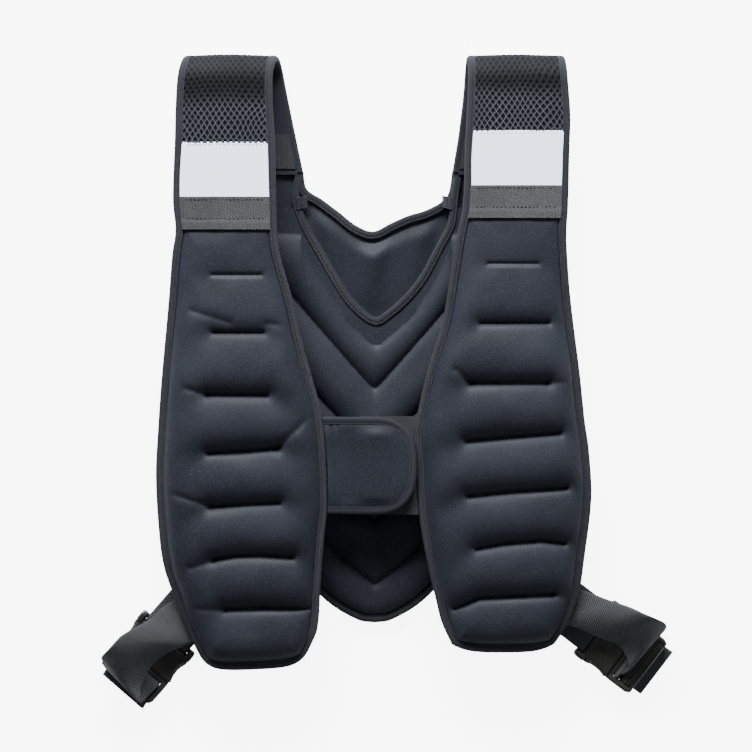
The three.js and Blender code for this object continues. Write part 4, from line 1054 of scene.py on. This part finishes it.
def clothWeaveGroup():
    group, given, out = newGroup(
        "clothWeave", [("Across", "Float", 1.0), ("Along", "Float", 1.0), ("Slant", "Float", 0.0),
                       ("Ragged", "Float", 0.3), ("Rib", "Float", 0.35)],
        [("Height", "Float"), ("Thread", "Float")])
    uv = addNode(group, "ShaderNodeUVMap", {"uv_map": "cloth"}).outputs[0]
    split = addNode(group, "ShaderNodeSeparateXYZ", Vector=uv)
    noise = addNode(group, "ShaderNodeTexNoise", Vector=uv, Scale=0.6, Detail=2.0).outputs[0]
    ragged = math2(group, "MULTIPLY", noise, given.outputs["Ragged"])
    u = math2(group, "ADD", math2(group, "DIVIDE", split.outputs[0], given.outputs["Across"]), ragged)
    v = math2(group, "DIVIDE", split.outputs[1], given.outputs["Along"])
    slanted = math2(group, "ADD", v, math2(group, "MULTIPLY", u, given.outputs["Slant"]))
    waveU = math2(group, "SINE", math2(group, "MULTIPLY", u, 2 * math.pi))
    waveV = math2(group, "SINE", math2(group, "MULTIPLY", slanted, 2 * math.pi))
    product = math2(group, "MULTIPLY", waveU, given.outputs["Rib"])
    height = math2(group, "ADD", product, waveV)
    group.links.new(height, out.inputs["Height"])
    thread = addNode(group, "ShaderNodeMapRange", Value=height, _1=-1.1, _2=1.1)
    group.links.new(thread.outputs[0], out.inputs["Thread"])
    return group


# The net's fold output is painted shade: it darkens the mesh near the strap's fold, where the surface turns
# away from the light
def netMaskGroup():
    group, given, out = newGroup("netMask", [("Wide", "Float", 6.0), ("Long", "Float", 9.0)],
                                 [("Hole", "Float"), ("Strand", "Float"), ("Pressed", "Float")])
    uv = addNode(group, "ShaderNodeUVMap", {"uv_map": "cloth"}).outputs[0]
    split = addNode(group, "ShaderNodeSeparateXYZ", Vector=uv)
    u = math2(group, "DIVIDE", split.outputs[0], given.outputs["Wide"])
    v = math2(group, "DIVIDE", split.outputs[1], given.outputs["Long"])
    a = math2(group, "SINE", math2(group, "MULTIPLY", math2(group, "ADD", u, v), math.pi))
    b = math2(group, "SINE", math2(group, "MULTIPLY", math2(group, "SUBTRACT", u, v), math.pi))
    both = math2(group, "ABSOLUTE", math2(group, "MULTIPLY", a, b))
    nearest = math2(group, "MINIMUM", math2(group, "ABSOLUTE", a), math2(group, "ABSOLUTE", b))
    # The strand mask places painted highlights on the net's raised strands; the hole mask places painted shade
    # in its pits
    for label, value, low, high in (("Hole", both, 0.5, 0.78), ("Strand", nearest, 0.26, 0.03),
                                    ("Pressed", split.outputs[1], 28.0, 8.0)):
        mask = addNode(group, "ShaderNodeMapRange", {"interpolation_type": "SMOOTHSTEP"},
                       Value=value, _1=low, _2=high)
        group.links.new(mask.outputs[0], out.inputs[label])
    return group


# Painted highlight on convex edges: where Pointiness is high the colour lightens towards the look's light
# colour, broken up by noise
def paintedEdgeHighlightGroup():
    group, given, out = newGroup("edgeWear", [("Amount", "Float", 0.5)], [("Mask", "Float")])
    point = addNode(group, "ShaderNodeNewGeometry").outputs["Pointiness"]
    edgeHighlightMask = addNode(group, "ShaderNodeMapRange", Value=point, _1=0.5, _2=0.62)
    noise = addNode(group, "ShaderNodeTexNoise", Scale=160.0, Detail=4.0,
                    Vector=addNode(group, "ShaderNodeTexCoord").outputs["Object"])
    broken = math2(group, "MULTIPLY", edgeHighlightMask.outputs[0], noise.outputs[0])
    group.links.new(math2(group, "MULTIPLY", broken, given.outputs["Amount"]), out.inputs["Mask"])
    return group


groups = {"grain": clothGrainGroup(), "weave": clothWeaveGroup(), "net": netMaskGroup(),
          "edgeHighlight": paintedEdgeHighlightGroup()}


def useGroup(tree, key, **values):
    node = tree.nodes.new("ShaderNodeGroup")
    node.node_tree = groups[key]
    for label, value in values.items():
        node.inputs[label].default_value = value
    return node.outputs


def newMaterial(name, look):
    material = bpy.data.materials.new(name)
    material.use_nodes = True
    tree = material.node_tree
    shader = tree.nodes["Principled BSDF"]
    shader.inputs["Roughness"].default_value = look["roughness"]
    shader.inputs["Sheen Weight"].default_value = look.get("sheen", 0)
    shader.inputs["Sheen Roughness"].default_value = look.get("sheenRoughness", 0.4)
    shader.inputs["Sheen Tint"].default_value = (*look.get("sheenTint", (1, 1, 1)), 1)
    # A look with glow emits its light colour: painted light that makes the part brighter than the lamps do
    shader.inputs["Emission Color"].default_value = (*look["light"], 1) if "glow" in look else (0, 0, 0, 1)
    shader.inputs["Emission Strength"].default_value = look.get("glow", 0)
    shader.inputs["Specular IOR Level"].default_value = look.get("specular", 0.3)
    return material, tree, shader


def blendColours(tree, factor, a, b):
    node = tree.nodes.new("ShaderNodeMix")
    node.data_type = "RGBA"
    tree.links.new(factor, node.inputs[0])
    for socket, value in ((node.inputs[6], a), (node.inputs[7], b)):
        if isinstance(value, bpy.types.NodeSocket):
            tree.links.new(value, socket)
        else:
            socket.default_value = (*value, 1)
    return node.outputs[2]


def bump(tree, shader, height, strength, distance):
    node = addNode(tree, "ShaderNodeBump", Strength=strength, Distance=distance * mm, Height=height)
    tree.links.new(node.outputs[0], shader.inputs["Normal"])


looks = {
    "neoprene": {"base": (0.0055, 0.0063, 0.0112), "light": (0.03, 0.035, 0.05), "roughness": 0.6, "sheen": 0.1,
                 "sheenTint": (0.72, 0.82, 1), "specular": 0.2, "grain": 620.0},
    "edge_tape": {"base": (0.006, 0.0069, 0.0092), "light": (0.031, 0.0346, 0.045), "roughness": 0.7,
                  "sheen": 0.05, "specular": 0.22, "across": 1.1, "along": 0.9, "slant": 0.5, "rib": 0.35},
    # air_mesh: light is the painted highlight on the strands, hole the painted shade in the pits
    "air_mesh": {"base": (0.0085, 0.0095, 0.0135), "light": (0.175, 0.186, 0.215),
                 "hole": (0.0015, 0.0015, 0.0022), "roughness": 0.6, "sheen": 0, "specular": 0.1},
    # The reflective patch's glow is painted light: its emission brightens it beyond what the lamps give
    "reflective": {"base": (0.74, 0.85, 1.0), "light": (0.7, 0.87, 1.0), "roughness": 0.42, "specular": 0.5,
                   "glow": 1.05},
    "pale_thread": {"base": (0.4, 0.43, 0.47), "light": (0.6, 0.63, 0.68), "roughness": 0.5},
    "twill_band": {"base": (0.007, 0.0073, 0.0078), "light": (0.06, 0.062, 0.067), "roughness": 0.55,
                   "sheen": 0.08, "across": 2.7, "along": 1.5, "slant": 1.0, "rib": 0.2},
    "webbing": {"base": (0.0055, 0.0059, 0.0066), "light": (0.088, 0.093, 0.1), "roughness": 0.6,
                "sheen": 0.02, "specular": 0.2, "across": 2.3, "along": 1.6, "slant": 1.0, "rib": 0.3},
    # A darker copy of the webbing: painted shade for the bands under the chest tab and on the straps' inner
    # faces behind the fold
    "loop_cloth": {"base": (0.005, 0.0054, 0.0062), "light": (0.05, 0.053, 0.06), "roughness": 0.65,
                   "sheen": 0.05, "specular": 0.2, "across": 2.3, "along": 1.6, "slant": 1.0, "rib": 0.3},
    "buckle": {"base": (0.014, 0.0135, 0.013), "light": (0.05, 0.047, 0.044), "roughness": 0.27,
               "specular": 0.5},
    "thread": {"base": (0.0045, 0.0047, 0.0056), "light": (0.016, 0.0165, 0.019), "roughness": 0.6,
               "sheen": 0.1},
}


def clothMaterial(name):
    look = looks[name]
    material, tree, shader = newMaterial(name, look)
    grain = useGroup(tree, "grain", Scale=look.get("grain", 1200.0))
    if "across" in look:
        weave = useGroup(tree, "weave", Across=look["across"], Along=look["along"], Slant=look["slant"],
                         Rib=look["rib"])
        colour = blendColours(tree, weave["Thread"], look["base"], look["light"])
        height = math2(tree, "ADD", weave["Height"], math2(tree, "MULTIPLY", grain["Height"], 0.35))
        bump(tree, shader, height, 0.6, 0.3)
    elif "hole" in look:
        lattice = useGroup(tree, "net", Wide=net["wide"], Long=net["long"])
        # Painted light on the net: lighter strands are painted highlight, near-black holes are painted shade
        shine = math2(tree, "MULTIPLY", lattice["Strand"], math2(tree, "ADD", grain["Shade"], -0.05))
        # Painted shade near the fold: the strands dim there and the colour turns towards the hole colour
        foldShade = math2(tree, "MULTIPLY", lattice["Pressed"], 0.85)
        shine = math2(tree, "MULTIPLY", shine, math2(tree, "SUBTRACT", 1.0, foldShade))
        strand = blendColours(tree, shine, look["base"], look["light"])
        colour = blendColours(tree, lattice["Hole"], strand, look["hole"])
        colour = blendColours(tree, math2(tree, "MULTIPLY", lattice["Pressed"], 0.75), colour, look["hole"])
        bump(tree, shader, grain["Height"], 0.5, 0.15)
    else:
        middle = [0.5 * (a + b) for a, b in zip(look["base"], look["light"])]
        shade = blendColours(tree, grain["Shade"], look["base"], middle)
        colour = blendColours(tree, math2(tree, "MULTIPLY", grain["Speckle"], 0.7), shade, look["light"])
        bump(tree, shader, grain["Height"], 0.35, 0.12)
    # Painted edge highlight: rounded rims are mixed towards the light colour
    edgeHighlightMask = useGroup(tree, "edgeHighlight", Amount=0.35)["Mask"]
    tree.links.new(blendColours(tree, edgeHighlightMask, colour, look["light"]), shader.inputs["Base Color"])
    rough = addNode(tree, "ShaderNodeMapRange", Value=grain["Shade"], _1=0.3, _2=0.7,
                    _3=look["roughness"] - 0.06, _4=look["roughness"] + 0.08)
    tree.links.new(rough.outputs[0], shader.inputs["Roughness"])
    return material


materials = {name: clothMaterial(name) for name in looks}


# The first part of a name that fits a piece gives its look
pieceLooks = [
    ("patch_seam", "pale_thread"), ("stitches", "thread"), ("tack", "edge_tape"), ("tape", "edge_tape"),
    ("binding", "edge_tape"), ("shoulder_net", "air_mesh"), ("reflector", "reflective"),
    ("strap_ribbon", "twill_band"), ("buckle", "buckle"), ("side_strap", "webbing"), ("back_strap", "webbing"),
    ("inner_band", "loop_cloth"), ("chest_loop", "loop_cloth"), ("front_cloth", "neoprene"),
    ("strap_padding", "neoprene"), ("back_outer", "neoprene"), ("back_padding", "neoprene"),
    ("chest_flap", "neoprene"),
]


def dress():
    for piece in bpy.context.scene.objects:
        fitting = [look for part, look in pieceLooks if part in piece.name]
        if piece.type != "MESH" or not fitting:
            continue
        if not piece.data.materials:
            piece.data.materials.append(materials[fitting[0]])
        for slot in piece.material_slots:
            slot.material = materials[fitting[0]]


# Camera, lights and floor

view = {"x": -12.0, "y": 9.4, "height": 2150, "distance": 2100, "seenWidth": 692, "sensor": 36}


def addCamera():
    data = bpy.data.cameras.new("camera")
    data.sensor_width = view["sensor"]
    data.lens = view["sensor"] * view["distance"] / view["seenWidth"]
    camera = bpy.data.objects.new("camera", data)
    camera.location = Vector((view["x"], view["y"], view["height"])) * mm
    bpy.context.scene.collection.objects.link(camera)
    bpy.context.scene.camera = camera


def addLight(name, place, size, power, colour=(1, 1, 1)):
    data = bpy.data.lights.new(name, "AREA")
    data.shape = "RECTANGLE"
    data.size, data.size_y = size
    data.energy = power
    data.color = colour
    light = bpy.data.objects.new(name, data)
    light.location = place
    light.rotation_euler = (-Vector(place)).to_track_quat("-Z", "Y").to_euler()
    bpy.context.scene.collection.objects.link(light)


def addStudio():
    size = 40  # far enough for the floor's edge to stay out of low views
    mesh = bpy.data.meshes.new("floor")
    corners = [(-size, -size, 0), (size, -size, 0), (size, size, 0), (-size, size, 0)]
    mesh.from_pydata(corners, [], [(0, 1, 2, 3)])
    floor = bpy.data.objects.new("floor", mesh)
    bpy.context.scene.collection.objects.link(floor)
    material, tree, shader = newMaterial("paper", {"roughness": 0.9, "specular": 0.1})
    noise = addNode(tree, "ShaderNodeTexNoise", Scale=3.0)
    tree.links.new(blendColours(tree, noise.outputs[0], (0.86, 0.865, 0.875), (0.9, 0.9, 0.905)),
                   shader.inputs["Base Color"])
    shader.inputs["Emission Color"].default_value = (1, 1, 1, 1)
    seen = addNode(tree, "ShaderNodeLightPath").outputs["Is Camera Ray"]
    glow = addNode(tree, "ShaderNodeMapRange", Value=seen, _3=0.25, _4=7.0)
    tree.links.new(glow.outputs[0], shader.inputs["Emission Strength"])
    mesh.materials.append(material)
    addLight("window", (-0.3, 2.1, 1.15), (2.0, 0.7), 215, (0.97, 0.985, 1))
    addLight("above", (0.2, 0.6, 2.6), (1.4, 1.4), 5, (1, 0.99, 0.97))
    addLight("leftFill", (-2.0, 0.1, 0.9), (0.8, 1.2), 6)
    addLight("rightFill", (2.0, 0.3, 0.9), (0.8, 1.2), 11)
    addLight("lowFill", (0.4, -2.1, 1.0), (1.6, 0.8), 7)
    world = bpy.data.worlds.new("studio")
    bpy.context.scene.world = world
    world.use_nodes = True
    world.node_tree.nodes["Background"].inputs[0].default_value = (0.92, 0.95, 1, 1)
    world.node_tree.nodes["Background"].inputs[1].default_value = 0.07


addCamera()
addStudio()
print("studio ready")
for side in ("left", "right"):
    frontPanel(side)
    frontTape(side)
    strapPieces(side)
    sideStrap(side)
    backStrap(side)
    mouldedPiece("socket", side)
    mouldedPiece("prong", side)
    print("front made", side)
backPieces()
chestPieces()
print("back and chest made")
dress()
